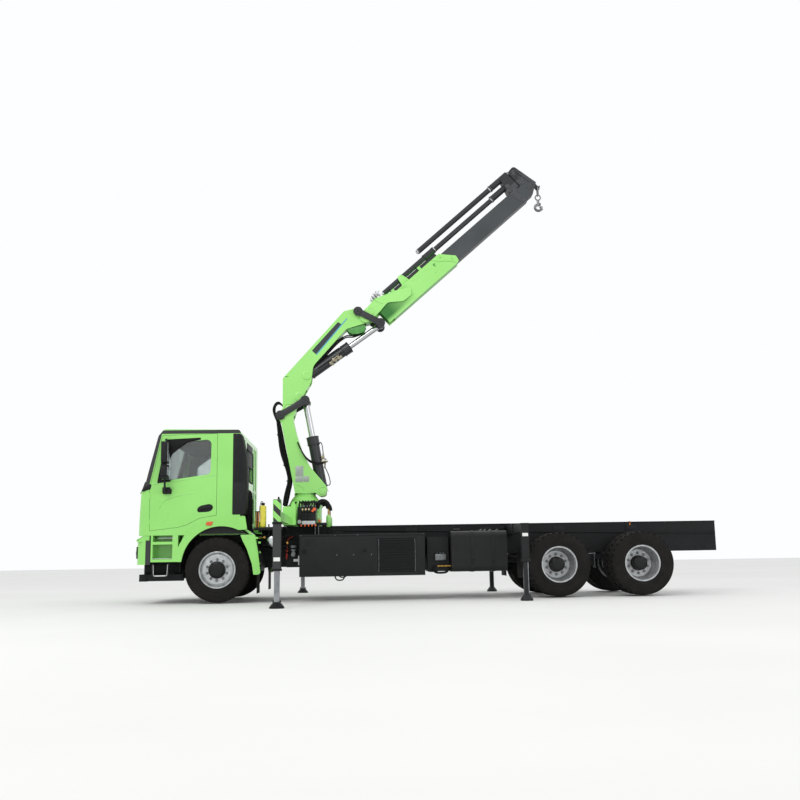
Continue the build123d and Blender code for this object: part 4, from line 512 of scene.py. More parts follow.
def parts_of(tree, place):
    """A point's place along, its distance from the middle plane and its height."""
    split = add_node(tree, "ShaderNodeSeparateXYZ", {"Vector": place})
    across = add_node(tree, "ShaderNodeMath", {0: split.outputs["Y"]}, operation="ABSOLUTE").outputs[0]
    return split.outputs["X"], across, split.outputs["Z"]


def pillar_mask(tree, place):
    """Ahead of the door's sloping front edge, between the cowl and the roof."""
    along, _, height = parts_of(tree, place)
    lean = add_node(tree, "ShaderNodeMath", {0: height, 1: -0.2185, 2: FRONT_AXLE_X * -1 + 1.104
            + 0.2185 * 1.990}, operation="MULTIPLY_ADD").outputs[0]
    ahead = add_node(tree, "ShaderNodeMath", {0: along, 1: lean}, operation="ADD").outputs[0]
    return both(tree, mask_past(tree, ahead, -0.016, above=False), mask_past(tree, height, 1.872),
            mask_past(tree, height, 2.792, above=False))


def roof_strip_mask(tree, place):
    """The strip above the doors, under the roof's edge."""
    _, across, height = parts_of(tree, place)
    return both(tree, mask_past(tree, across, 1.238), mask_past(tree, height, 2.792),
            mask_past(tree, height, 2.852, above=False))


def bumper_strip_mask(tree, place):
    """The bumper's upright edge beside the step box."""
    along, across, _ = parts_of(tree, place)
    return both(tree, mask_past(tree, along, FRONT_AXLE_X - 1.166), mask_past(tree, across, 1.1))


GREEN, GREEN_SHADE, GLOSS_BLACK = "#93DC70", "#8AD367", "#151617"
# What faces down on this green is darkened: painted shade.
green_enamel = surface("green_two_pack_enamel", GREEN, GREEN_SHADE, 900, 0.28, 0.08, coat=0.35, grain_mm=14,
        grain=0.03, underside_shade="#4F9A4A")
cab_enamel = surface("green_cab_enamel_black_pillars", GREEN, GREEN_SHADE, 900, 0.26, 0.08, coat=0.5,
        grain_mm=14, grain=0.03, bands=((GLOSS_BLACK, pillar_mask), (GLOSS_BLACK, roof_strip_mask)))
bumper_enamel = surface("green_bumper_enamel_black_edge", GREEN, GREEN_SHADE, 900, 0.28, 0.08, coat=0.4,
        grain_mm=14, grain=0.03, bands=((GLOSS_BLACK, bumper_strip_mask),))
black_plastic = surface("black_moulded_plastic", "#1C1D1F", "#131415", 60, 0.55, specular=0.25,
        grain_mm=2.5, grain=0.3)
seal_rubber = surface("extruded_seal_rubber", "#161717", "#101111", 40, 0.7, specular=0.2, grain_mm=2,
        grain=0.2)
dress(cab_enamel, "cab_shell", "cab_roof")
# The arches' green is darkened to near black where it faces down: painted shade.
arch_enamel = surface("green_arch_enamel_painted_shade_below", GREEN, GREEN_SHADE, 900, 0.28, 0.08, coat=0.3,
        grain_mm=14, grain=0.03, underside_shade="#0E0F10")
dress(green_enamel, "cab_nose", "door_left", "door_right")
dress(arch_enamel, "wheel_arches")
dress(bumper_enamel, "bumper")
dress(black_plastic, "cab_floor", "mirror_left", "mirror_right")

# Toughened glass, flat and faintly green, with a thin haze of dust wiped into streaks.
glass = bpy.data.materials.new("tinted_toughened_glass")
glass.use_nodes = True
tint = glass.node_tree.nodes["Principled BSDF"]
haze = add_node(glass.node_tree, "ShaderNodeTexNoise", {"Scale": 9.0, "Detail": 3.0,
        "Vector": add_node(glass.node_tree, "ShaderNodeTexCoord").outputs["Object"]})
glass.node_tree.links.new(graded(glass.node_tree, haze.outputs["Fac"],
        [(0.3, "#D3DCDA"), (0.7, "#DFE7E5")]), tint.inputs["Base Color"])
smear = add_node(glass.node_tree, "ShaderNodeMapRange", {"Value": haze.outputs["Fac"], "To Min": 0.01,
        "To Max": 0.05})
glass.node_tree.links.new(smear.outputs["Result"], tint.inputs["Roughness"])
tint.inputs["Transmission Weight"].default_value = 0.94
tint.inputs["IOR"].default_value = 1.5
dress(glass, "cab_glass", "door_glass_left", "door_glass_right")

WINDOW_SEAL = [(-978, 1966), (-788, 2672), (-88, 2728), (-98, 2082)]
for side, hand in SIDES:
    face = side * CAB_HALF
    seal = bmesh.new()
    add_frame(seal, WINDOW_SEAL, face - side * 14, face + side * 4, 38, 2, 70)
    # The black plate ahead of and above the window's rubber is painted shade: it stands in for the dim cab
    # inside seen through the glass there.
    add_plate(seal, [(-1000, 1958), (-1000, 2010), (-905, 2560), (-850, 2700), (-300, 2724), (-300, 2688),
            (-520, 2650), (-765, 2470), (-815, 2330), (-900, 2240), (-930, 2030), (-760, 2030),
            (-800, 1990)], face - side * 4, face + side * 3, 2, 12)
    piece("door_window_seal_and_shade_" + hand, seal, "door_" + hand, seal_rubber)
    line = bmesh.new()
    add_tube(line, outward(side, CAB_HALF, [(-960, -1, 1560), (-920, 0, 1640), (-840, 1, 1700),
            (-700, 1, 1748), (-540, 0, 1786), (-380, -3, 1812)]), 5)
    add_tube(line, outward(side, CAB_HALF, [(-1108, 0, 1950), (-960, 1, 1968), (-560, 1, 2022),
            (-32, 0, 2100)]), 5)
    piece("door_creases_" + hand, line, "door_" + hand, green_enamel)
    handle = bmesh.new()
    oval = [(-330, 1480), (-345, 1540), (-290, 1590), (-130, 1622), (-75, 1585), (-85, 1525), (-140, 1490)]
    add_frame(handle, oval, face, face + side * 10, 26, 4, 34)
    add_plate(handle, oval, face - side * 2, face + side * 2, 0, 34)
    add_plate(handle, [(-312, 1528), (-300, 1560), (-108, 1588), (-100, 1556)], face + side * 14,
            face + side * 24, 5, 12)
    for x, z in ((-290, 1542), (-118, 1570)):
        add_rod(handle, (x, face, z), (x, face + side * 16, z), 12, sides=12)
    piece("door_handle_" + hand, handle, "door_" + hand, black_plastic)
    hinges = bmesh.new()
    for z in (1330, 1760):
        add_rod(hinges, (-1118, face - side * 6, z - 45), (-1118, face - side * 6, z + 45), 13, bevel_mm=2)
    piece("door_hinges_" + hand, hinges, "door_" + hand, green_enamel)

# Mirror housings and glass on their bent arm, and the wipers along the cowl.
MIRROR_Y = 1400
mirror_glass = surface("silvered_mirror_glass", "#D9DEE2", "#CBD2D8", 200, 0.05, 0.04, metallic=1.0,
        grain=0.0)
for side, hand in SIDES:
    y = side * MIRROR_Y
    housings = bmesh.new()
    for x0, x1, z0, z1 in ((-905, -795, 2285, 2640), (-900, -800, 2060, 2240)):
        add_box(housings, x0, x1, y - side * 115, y + side * 115, z0, z1, 30, 4)
    add_tube(housings, [(-850, y - side * 60, 2640), (-852, y - side * 90, 2690), (-870, side * 1270, 2700),
            (-880, side * 1245, 2690)], 15)
    add_tube(housings, [(-850, y, 2070), (-850, y, 1990), (-848, y, 1900), (-846, side * 1340, 1850),
            (-846, side * 1258, 1845)], 17)
    add_box(housings, -905, -760, side * 1248, side * 1300, 1790, 1880, 18, 3)
    piece("mirror_housings_" + hand, housings, "door_" + hand, black_plastic)
    faces = bmesh.new()
    for z0, z1 in ((2310, 2615), (2080, 2220)):
        add_box(faces, -797, -790, y - side * 92, y + side * 92, z0, z1, 3)
    piece("mirror_glass_" + hand, faces, "door_" + hand, mirror_glass)

wipers = bmesh.new()
for y in (-720, 60, 700):
    add_tube(wipers, [(-1268, y, 1890), (-1262, y + 120, 1905), (-1236, y + 300, 1960),
            (-1215, y + 420, 2010)], 9)
    add_tube(wipers, [(-1212, y + 60, 1995), (-1203, y + 420, 2012), (-1170, y + 700, 2130)], 8)
    add_rod(wipers, (-1262, y, 1868), (-1276, y, 1900), 20, bevel_mm=4)
add_plate(wipers, [(-1302, 1815), (-1268, 1866), (-1150, 1872), (-1160, 1852), (-1262, 1838)], -1150, 1150, 6)
for side in (-1, 1):
    add_plate(wipers, [(-1262, 1838), (-1236, 1896), (-1128, 1962), (-1090, 1958), (-1108, 1868),
            (-1220, 1842)], side * 1190, side * 1254, 8, 14)
add_plate(wipers, [(-1300, 1842), (-1240, 2010), (-1216, 2004), (-1268, 1846)], -1080, -1056, 6, 8)
piece("wipers_and_cowl", wipers, "truck", black_plastic)

# Grille and its bars, the lamps in the bumper, the plain nose panel and the blank plate.
clear_lens = surface("clear_polycarbonate_lens", "#DDE3E6", "#C9D0D4", 30, 0.08, 0.04, coat=0.6, grain_mm=6,
        grain=0.2)
amber_lens = surface("amber_acrylic_lens", "#E2611C", "#C24A12", 18, 0.18, 0.06, coat=0.4, grain_mm=5,
        grain=0.5)
blank_plate = surface("blank_white_plate", "#E9E9E6", "#DADAD7", 80, 0.4, coat=0.2, grain_mm=5)
grille = bmesh.new()
for i in range(7):
    z = 1210 + 78 * i
    x = -1318 + (z - 1114) * 0.062
    add_box(grille, x - 9, x + 26, -800, 800, z, z + 34, 7)
for y in (-815, 815):
    add_box(grille, -1318, -1262, y - 15, y + 15, 1180, 1740, 6)
piece("nose_grille", grille, "truck", black_plastic)
lamps = bmesh.new()
housing = bmesh.new()
for side in (-1, 1):
    add_box(housing, -1338, -1300, side * 640, side * 1150, 740, 940, 16, 3)
    for y in (760, 930, 1075):
        radius = 78 if y < 1000 else 52
        add_turned(lamps, (-1341, side * y, 840), (-1, 0, 0), [(0, radius), (6, radius), (15, radius * 0.7),
                (19, 0)])
piece("headlamp_housings", housing, "truck", black_plastic)
piece("headlamp_lenses", lamps, "truck", clear_lens)
brow = bmesh.new()
add_plate(brow, [(-1241, 1090), (-1170, 1150), (-1108, 1156), (-1108, 1012), (-1306, 1012), (-1324, 1050)],
        -1236, 1236, 14, 24)
piece("bumper_upper_panel", brow, "truck", green_enamel)
plate = bmesh.new()
add_box(plate, -1343, -1333, -260, 260, 700, 810, 4)
piece("front_plate_blank", plate, "truck", blank_plate)
markers = bmesh.new()
for side in (-1, 1):
    add_plate(markers, [(-196, 1268), (-178, 1326), (-70, 1330), (-96, 1262)], side * 1248, side * 1262, 4,
            14)
piece("side_marker_lenses", markers, "truck", amber_lens)

# The black mesh over the air intake at the cab's rear corner: a moulded frame round a
# perforated plate, the duct that leaves it, and the back wall's window frame.
HOLE_PITCH = 29
intake = bmesh.new()
perforated = bmesh.new()
face = -CAB_HALF
add_plate(intake, [(232, 1432), (232, 2792), (368, 2790), (396, 2700), (452, 2400), (470, 2150),
        (470, 1560), (440, 1432)], -960, face - 4, 14, 20)
add_frame(intake, [(238, 1990), (238, 2780), (362, 2776), (390, 2690), (440, 2400), (452, 2160),
        (452, 1990)], face - 2, face - 9, 16, 3, 14)
add_plate(intake, [(240, 1440), (240, 1960), (452, 1960), (455, 1560), (430, 1440)], face - 2, face - 8, 3,
        16)
for row in range(26):
    z = 2014 + row * HOLE_PITCH
    end = 436 - max(0.0, (z - 2150) * 0.11)
    for k in range(7):
        x = 262 + k * HOLE_PITCH + (14 if row % 2 else 0)
        if x < end:
            add_turned(perforated, (x, face - 3, z), (0, -1, 0), [(0, 11.5), (3, 11), (3, 7.5), (0, 7)],
                    sides=8)
piece("intake_housing", intake, "truck", black_plastic)
piece("intake_perforated_plate", perforated, "truck", black_plastic)
backing = bmesh.new()
add_box(backing, 352, 368, -430, 430, 2330, 2735, 4)
piece("back_window_lower_trim", backing, "truck", black_plastic)
duct = bmesh.new()
ribs = [(0, 62)]
for k in range(16):
    ribs += [(k * 26 + 4, 74), (k * 26 + 14, 74), (k * 26 + 18, 64), (k * 26 + 24, 64)]
add_turned(duct, (470, -900, 1290), (0, 0, 1), ribs + [(430, 0)], sides=28)
add_tube(duct, [(470, -900, 1700), (468, -900, 1790), (430, -900, 1815), (362, -900, 1818)], 64, sides=16)
add_tube(duct, [(470, -900, 1300), (470, -895, 1215), (470, -800, 1190), (470, -650, 1188)], 60, sides=16)
piece("intake_duct", duct, "truck", seal_rubber)
back = bmesh.new()
for y0, y1, z0, z1 in ((-445, 445, 2060, 2090), (-445, 445, 2595, 2625), (-445, -415, 2060, 2625),
        (415, 445, 2060, 2625)):
    add_box(back, 362, 378, y0, y1, z0, z1, 4)
piece("back_window_frame", back, "truck", seal_rubber)
ribs = bmesh.new()
for y in (-980, -700, 700, 980):
    add_box(ribs, 362, 376, y - 45, y + 45, 1250, 2740, 6)
for z in (1290, 1900):
    add_box(ribs, 362, 374, -1060, 1060, z, z + 60, 6)
piece("back_wall_ribs", ribs, "truck", green_enamel)

# Steps: folded aluminium treads with a raised grip in the step box, the hanging lower
# step, the underrun bar's side arms, and the rubber flaps behind the wheels.
tread_metal = surface("rolled_aluminium_tread", "#C9CBCC", "#A9ACAE", 25, 0.38, metallic=0.9, grain_mm=5,
        grain=0.5)
treads = bmesh.new()
low_step = bmesh.new()
for side in (-1, 1):
    face = side * CAB_HALF
    for x0, x1, z in ((-960, -655, 1072), (-1065, -730, 742)):
        add_box(treads, x0, x1, face - side * 90, face + side, z - 8, z, 2)
        for k in range(8):
            x = x0 + (k + 0.5) * (x1 - x0) / 8
            add_rod(treads, (x, face - side * 80, z), (x, face - side * 10, z), 6, sides=8)
    add_tube(low_step, outward(side, CAB_HALF, [(-1050, -40, 690), (-1046, -40, 500), (-1040, -38, 452),
            (-1000, -38, 448), (-840, -38, 448), (-800, -38, 452), (-794, -40, 500), (-790, -40, 690)]), 15)
    add_box(treads, -1020, -820, face - side * 70, face - side * 20, 458, 470, 3)
    add_tube(treads, outward(side, CAB_HALF, [(-1036, -22, 640), (-1032, -22, 480), (-1020, -22, 462),
            (-1000, -22, 458), (-850, -22, 458), (-820, -22, 462), (-808, -22, 480), (-804, -22, 640)]), 7)
piece("step_treads", treads, "truck", tread_metal)
piece("hanging_steps", low_step, "truck", black_plastic)
arms = bmesh.new()
flaps = bmesh.new()
for side in (-1, 1):
    add_box(arms, -1190, -580, side * 940, side * 1040, 374, 484, 10, 3)
    add_box(arms, -820, -770, side * 760, side * 880, 380, 560, 6)
    add_box(arms, -1262, -640, side * 852, side * 868, 484, 716, 4)
    add_box(flaps, 640, 648, side * 760, side * 1180, 150, 620, 3)
    add_box(flaps, 5035, 5043, side * 640, side * 1230, 330, 760, 3)
    add_box(arms, 632, 656, side * 740, side * 1080, 600, 640, 4)
piece("underrun_arms", arms, "truck", chassis_paint)
piece("mud_flaps", flaps, "truck", rubber)
clips = bmesh.new()
for side in (-1, 1):
    for z in (620, 800, 960):
        add_box(clips, 660, 700, side * 1090, side * 1200, z, z + 32, 5)
piece("mudguard_clips", clips, "truck", green_enamel)
tails = bmesh.new()
for side in (-1, 1):
    add_plate(tails, [(372, 1104), (612, 1110), (667, 825), (708, 483), (670, 454), (592, 455), (567, 626),
            (483, 868), (410, 1010)], side * 1230, side * 1248, 6, 14)
piece("mudguard_tails", tails, "truck", green_enamel)


def on_arch(radius, degrees):
    """A point (x, z) on a circle round the front wheel arch's middle, 0 ahead and 90 on top."""
    turn = math.radians(degrees)
    return 57 - radius * math.cos(turn), 606 + radius * math.sin(turn)


LINING_STEPS = 30
linings = bmesh.new()
skin = []
for side in (-1, 1):
    add_plate(linings, [on_arch(652, a) for a in range(32, 150, 8)], side * 700, side * 706)
    add_plate(linings, [on_arch(650, a) for a in range(54, 128, 6)], side * 1200, side * 1206)
    rows = []
    for k in range(LINING_STEPS + 1):
        x, z = on_arch(664, -8 + 196 * k / LINING_STEPS)
        rows += [linings.verts.new(at(x, side * across, z)) for across in (700, 1236)]
    for k in range(0, 2 * LINING_STEPS, 2):
        skin.append(linings.faces.new((rows[k], rows[k + 1], rows[k + 3], rows[k + 2])))
bmesh.ops.solidify(linings, geom=skin, thickness=0.006)
piece("arch_linings", linings, "truck", black_plastic)


# Cab lining
# Dark moulded headliner, back wall and pillar trims, pressed from felt-backed board and clipped
# inside the shell; their dark colour is painted shade that keeps the cab's inside dim behind the glass.
liner_felt = surface("felted_trim_board_painted_shade", "#2A2521", "#201C19", 60, 0.9, specular=0.1, grain_mm=6, grain=0.6)
liner = bmesh.new()
add_box(liner, -850, 300, -1130, 1130, 2662, 2670, 2)
add_box(liner, 292, 300, -1130, 1130, 1250, 2662, 2)
add_box(liner, -850, 292, -1100, 1100, 1196, 1204, 2)
for side in (-1, 1):
    add_box(liner, -70, 292, side * 1122, side * 1130, 1250, 2662, 2)
for side, hand in SIDES:
    trim = bmesh.new()
    add_plate(trim, [(-1040, 1240), (-1020, 1960), (-800, 1985), (-150, 2090), (-110, 2080), (-110, 1240)],
            side * 1176, side * 1182, 2, 20)
    add_plate(trim, [(-1000, 1958), (-905, 2560), (-850, 2690), (-600, 2700), (-560, 2640), (-800, 2440),
            (-860, 2300), (-930, 2040)], side * 1176, side * 1182, 2, 12)
    piece("door_trim_" + hand, trim, "door_" + hand, liner_felt)
piece("cab_lining", liner, "truck", liner_felt)


# Seats and dashboard
# Suspension seats with cut foam under woven grey cloth, and a moulded dashboard with
# its steering wheel. They show through the side glass as dark shapes.
seat_cloth = surface("woven_seat_cloth", "#3A3C40", "#2A2C30", 5, 0.9, grain_mm=3, grain=0.6)
dress(surface("textured_dash_moulding", "#2C2D2F", "#232426", 40, 0.7, grain_mm=3, grain=0.5), "dashboard")


def add_cushion(build, x0, x1, y0, y1, z0, z1, lean=0.0):
    """A foam pad: its faces crown towards their middles and its sides pull in between corners."""
    low, high = at(x0, y0, z0), at(x1, y1, z1)
    middle, half = (low + high) / 2, (high - low) / 2
    pad = bmesh.new()
    bmesh.ops.create_cube(pad, size=2.0)
    bmesh.ops.subdivide_edges(pad, edges=pad.edges[:], cuts=7, use_grid_fill=True)
    for vert in pad.verts:
        u, v, w = vert.co
        crown = 1.0 + 0.10 * (1 - u * u) * (1 - v * v)
        pull = 1.0 - 0.05 * ((1 - u * u) * (1 - v * v) + (1 - v * v) * (1 - w * w)
                + (1 - u * u) * (1 - w * w))
        corner = 1.0 - 0.035 * (u * u * v * v + v * v * w * w + u * u * w * w)
        shaped = Vector((u * half.x * corner * (2 - pull), v * half.y * corner * pull,
                w * half.z * corner * crown))
        vert.co = middle + shaped + Vector((lean * (shaped.z + half.z), 0, 0))
    kept = bpy.data.meshes.new("pad")
    pad.to_mesh(kept)
    pad.free()
    build.from_mesh(kept)
    bpy.data.meshes.remove(kept)


SEAT_Y = 620
for name, y in (("driver_seat", -SEAT_Y), ("passenger_seat", SEAT_Y)):
    pads = bmesh.new()
    for k in (-1, 0, 1):
        add_cushion(pads, -650, -190, y + k * 160 - 82, y + k * 160 + 82, 1425, 1555)
    for k in (-1, 0, 1):
        add_cushion(pads, -305, -180, y + k * 150 - 78, y + k * 150 + 78, 1560, 2010, 0.10)
    add_cushion(pads, -250, -160, y - 130, y + 130, 2030, 2168, 0.08)
    seat = piece(name, pads, "truck", seat_cloth, crease=80)
    smoother = seat.modifiers.new("soften", "SUBSURF")
    smoother.levels = smoother.render_levels = 1
    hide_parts("seats")
    base = bmesh.new()
    add_box(base, -600, -240, y - 200, y + 200, 1182, 1240, 12, 3)
    add_box(base, -560, -280, y - 150, y + 150, 1240, 1420, 20, 3)
    for k in range(5):
        add_box(base, -568, -272, y - 158, y + 158, 1262 + k * 30, 1276 + k * 30, 5)
    piece(name + "_base", base, "truck", black_plastic)


# Side cabinets and valve covers
# Folded steel cabinets in dark textured powder coat, their lids and doors on rolled edges,
# with a woven mesh over the vent. The coat is finely pebbled and half matt.
CABINET_Y, COVER_Y = 1200, 900
SENDERS = (4400, 4470, 4560, 4680)
powder_coat = surface("dark_textured_powder_coat", "#1A1B1C", "#151617", 150, 0.48, 0.1, specular=0.25,
        grain_mm=3, grain=0.35, dust="#403F3C")
dress(powder_coat, "side_cabinets")
for side, hand in FLANKS:
    face = side * CABINET_Y
    doors = bmesh.new()
    add_plate(doors, [(1356, 428), (1356, 1052), (2592, 1052), (2592, 428)], face, face + side * 5, 3, 14)
    add_plate(doors, [(3292, 428), (3292, 1052), (3402, 1052), (3402, 428)], face, face + side * 5, 3, 10)
    add_plate(doors, [(1330, 1064), (1330, 1090), (3423, 1090), (3423, 1064)], face, face + side * 10, 4, 4)
    add_box(doors, 1330, 3423, side * 640, face + side * 10, 1084, 1092, 4)
    add_frame(doors, [(2604, 446), (2604, 1032), (3280, 1032), (3280, 446)], face, face + side * 9, 30, 3, 14)
    piece("cabinet_doors_" + hand, doors, "truck", powder_coat)
    mesh_bars = bmesh.new()
    for k in range(31):
        x = 2640 + k * 20
        add_rod(mesh_bars, (x, face - side * 2, 470), (x, face - side * 2, 1008), 2.6, sides=6)
    for k in range(26):
        z = 476 + k * 21
        add_rod(mesh_bars, (2636, face + side, z), (3250, face + side, z), 2.6, sides=6)
    piece("vent_mesh_" + hand, mesh_bars, "truck", chassis_paint)
    edges = bmesh.new()
    for x in (2646, 3248):
        add_tube(edges, [(x, face + side * 4, 470), (x + 4, face + side * 9, 560),
                (x + 5, face + side * 10, 740), (x + 4, face + side * 9, 920), (x, face + side * 4, 1006)],
                3.5)
    for x, z in ((1954, 753), (2234, 753), (2529, 753), (1930, 1077), (2300, 1077), (3390, 1077),
            (1365, 1077)):
        add_bolt(edges, (x, face + side * 5, z), (0, side, 0), 8)
    piece("cabinet_fasteners_" + hand, edges, "truck", zinc_bolts)
    panel = bmesh.new()
    add_frame(panel, [(1430, 898), (1430, 1032), (1648, 1032), (1648, 898)], face + side * 3,
            face + side * 12, 14, 2, 8)
    add_box(panel, 1436, 1642, face + side * 3, face + side * 6, 904, 1026)
    for x in (1462, 1500):
        for z in (935, 972, 1004):
            add_box(panel, x - 12, x + 12, face + side * 5, face + side * 11, z - 9, z + 9, 3)
    add_tube(panel, [(1925, face - side * 60, 410), (1932, face - side * 60, 366),
            (1965, face - side * 60, 344), (2005, face - side * 60, 340), (2045, face - side * 60, 346),
            (2072, face - side * 60, 368), (2080, face - side * 60, 410)], 11)
    piece("control_recess_" + hand, panel, "truck", black_plastic)
    for x in (2420, 1420):
        latch = bmesh.new()
        add_box(latch, x - 34, x + 34, face + side * 4, face + side * 10, 790, 850, 6)
        add_box(latch, x - 9, x + 9, face + side * 10, face + side * 22, 796, 844, 6)
        piece(f"cabinet_latch_{hand}_{x}", latch, "truck", chassis_paint)

    # Valves and unions on the cover behind the cabinet: an alloy block with brass fittings.
    cover = side * COVER_Y
    valves = bmesh.new()
    add_box(valves, 3602, 3788, cover, cover + side * 62, 640, 742, 8)
    for x in (3640, 3695, 3750):
        add_rod(valves, (x, cover + side * 30, 742), (x, cover + side * 30, 772), 17, sides=6)
        add_bolt(valves, (x, cover + side * 62, 668), (0, side, 0), 9)
    piece("valve_block_" + hand, valves, "truck", zinc_bolts)
    unions = bmesh.new()
    for x, length in ((3660, 70), (3730, 90), (3800, 60)):
        add_rod(unions, (x, cover + side * 30, 545), (x + length, cover + side * 34, 545), 16, sides=6)
        add_rod(unions, (x - 20, cover + side * 30, 545), (x, cover + side * 30, 545), 22, sides=6,
                bevel_mm=2)
    piece("brass_unions_" + hand, unions, "truck", brass)
    senders = bmesh.new()
    for x in SENDERS:
        add_rod(senders, (x, side * 700, 1118), (x, side * 700, 1142), 15, sides=6)
        add_rod(senders, (x, side * 700, 1138), (x + 34, side * 700, 1146), 10, sides=8)
    piece("tank_sender_unions_" + hand, senders, "truck", zinc_bolts)
    pipes = bmesh.new()
    add_tube(pipes, outward(side, COVER_Y, [(3600, 30, 545), (3560, 40, 500), (3590, 40, 440),
            (3700, 40, 428), (3830, 20, 446), (3850, 0, 560)]), 18)
    for x in SENDERS:
        add_tube(pipes, outward(side, 0, [(x + 30, 700, 1148), (x + 90, 700, 1160), (x + 150, 640, 1170),
                (x + 190, 520, 1150), (x + 200, 436, 1120)]), 9)
    piece("chassis_pipes_" + hand, pipes, "truck", seal_rubber)


# Fuel tanks
# Pressed and seam-welded steel tanks under black paint, held by two rubber-lined straps
# with tension bolts, with a filler cap and a sender on top.
tank_paint = surface("black_tank_paint", "#191A1B", "#141415", 200, 0.4, 0.12, specular=0.25, grain_mm=7,
        grain=0.14, dust="#504E4A")
dress(tank_paint, "fuel_tanks")
for side, hand in FLANKS:
    seams = bmesh.new()
    for x in (3861, 4784):
        add_frame(seams, [(x - 3, 452), (x - 3, 1113), (x + 3, 1113), (x + 3, 452)], side * 1120,
                side * 1206, 2)
    for x in (4182, 4533):
        add_box(seams, x + 4, x + 46, side * 1203, side * 1211, 560, 1010, 3)
        add_rod(seams, (x + 25, side * 1212, 560), (x + 25, side * 1212, 640), 8, sides=8)
        add_bolt(seams, (x + 25, side * 1206, 660), (0, side, 0), 12)
        add_box(seams, x + 6, x + 44, side * 1206, side * 1222, 640, 690, 5)
    add_turned(seams, (3965, side * 1000, 1108), (0, 0, 1), [(0, 62), (14, 62), (18, 50), (22, 50),
            (24, 56), (44, 56), (50, 48), (52, 0)], sides=32)
    for dx, dy in ring_of(8, 54):
        x, y = 3965 + dx, side * 1000 + dy
        add_rod(seams, (x, y, 1133), (x, y, 1150), 6, sides=8)
    add_turned(seams, (4330, side * 900, 1112), (0, 0, 1), [(0, 40), (8, 40), (10, 20), (34, 20), (36, 0)],
            sides=24)
    piece("tank_fittings_" + hand, seams, "truck", tank_paint)


# Air and fluid vessels behind the cab
# A polished aluminium air tank, a grey filter bowl, the screen-washer bottle with its
# black cap, a recovery strap pack and red and black hoses, all on a folded black shelf.
alloy = surface("polished_aluminium_tank", "#CDD0D3", "#B4B8BB", 120, 0.24, 0.12, metallic=1.0, grain_mm=10,
        grain=0.05)
yellow_bottle = surface("blow_moulded_polyethylene", "#E6E04A", "#D9C93A", 160, 0.35, coat=0.2, grain_mm=8,
        grain=0.15)
grey_plastic = surface("grey_nylon_bowl", "#9FA3A6", "#8B8F92", 60, 0.4, grain_mm=4, grain=0.2)
orange_plastic = surface("orange_polypropylene", "#E8932E", "#CC7A22", 30, 0.5, grain_mm=4, grain=0.25)
red_hose = surface("red_nylon_hose", "#C2402E", "#9A2E20", 20, 0.4, grain_mm=3, grain=0.2)
white_enamel = surface("white_bracket_enamel", "#DEDFDF", "#C6C8C9", 50, 0.45, grain_mm=5, grain=0.1)
shelf = bmesh.new()
add_box(shelf, 575, 1060, -1060, -430, 1214, 1226, 5)
add_box(shelf, 575, 1060, -1066, -1056, 1180, 1226, 4)
add_box(shelf, 640, 700, -1000, -430, 1150, 1216, 5)
add_box(shelf, 780, 960, -540, -436, 960, 1050, 6)
add_plate(shelf, [(1075, 560), (1075, 1010), (1330, 1010), (1330, 560)], -640, -628, 4, 20)
for z in (640, 930):
    add_box(shelf, 1110, 1290, -632, -432, z - 20, z + 20, 5)
piece("equipment_shelf", shelf, "truck", chassis_paint)
vessel = bmesh.new()
add_turned(vessel, (870, -530, 1005), (0, -1, 0), [(0, 0), (2, 50), (14, 84), (34, 99), (60, 103),
        (400, 103), (426, 99), (446, 84), (458, 50), (460, 0)])
piece("air_tank", vessel, "truck", alloy)
tank_straps = bmesh.new()
for y in (-610, -880):
    add_turned(tank_straps, (870, y, 1005), (0, -1, 0), [(0, 104), (0, 108), (26, 108), (26, 104)])
    add_box(tank_straps, 855, 885, y - 26, y, 1104, 1220, 3)
piece("air_tank_straps", tank_straps, "truck", chassis_paint)
bottle = bmesh.new()
add_box(bottle, 662, 758, -980, -840, 1227, 1598, 22, 4)
for z in (1310, 1400, 1490):
    add_box(bottle, 659, 761, -983, -837, z, z + 12, 5)
piece("washer_bottle", bottle, "truck", yellow_bottle)
cap = bmesh.new()
add_turned(cap, (706, -910, 1594), (0, 0, 1), [(0, 24), (12, 24), (14, 32), (44, 32), (50, 24), (51, 0)],
        sides=28)
add_tube(cap, [(706, -910, 1640), (700, -900, 1670), (670, -880, 1670), (640, -860, 1560),
        (630, -800, 1300)], 6)
piece("washer_bottle_cap", cap, "truck", black_plastic)
pack = bmesh.new()
for k in range(6):
    add_box(pack, 596, 650, -1040, -930, 1232 + k * 42, 1266 + k * 42, 9, 3)
piece("strap_pack", pack, "truck", orange_plastic)
pack_frame = bmesh.new()
add_box(pack_frame, 612, 636, -1046, -924, 1226, 1492, 5)
add_box(pack_frame, 588, 660, -1044, -926, 1484, 1500, 5)
piece("strap_pack_frame", pack_frame, "truck", black_plastic)
gearbox = bmesh.new()
add_turned(gearbox, (566, 0, 800), (1, 0, 0), [(0, 0), (0, 250), (30, 262), (120, 250), (170, 205),
        (420, 180), (440, 200), (470, 200), (490, 150), (620, 130), (640, 0)], sides=28)
for k in range(7):
    add_box(gearbox, 720 + k * 34, 728 + k * 34, -215, 215, 640, 960, 3)
add_box(gearbox, 600, 760, -300, 300, 600, 700, 14, 3)
add_rod(gearbox, (1200, 0, 800), (5560, 0, 620), 62, sides=24)
piece("gearbox_and_propeller_shaft", gearbox, "truck", engine_grey)
crossmember = bmesh.new()
add_box(crossmember, 640, 1330, -560, -470, 566, 900, 10)
add_box(crossmember, 640, 1330, 470, 560, 566, 900, 10)
for x in (690, 1000, 1290):
    add_box(crossmember, x - 22, x + 22, -640, 640, 575, 620, 8)
piece("steering_and_battery_carriers", crossmember, "truck", chassis_paint)
bowl = bmesh.new()
add_turned(bowl, (1207, -700, 737), (0, 0, 1), [(0, 0), (4, 26), (22, 40), (150, 44), (154, 48), (168, 48),
        (172, 52), (205, 52), (208, 0)], sides=32)
piece("filter_bowl", bowl, "truck", grey_plastic)
red = bmesh.new()
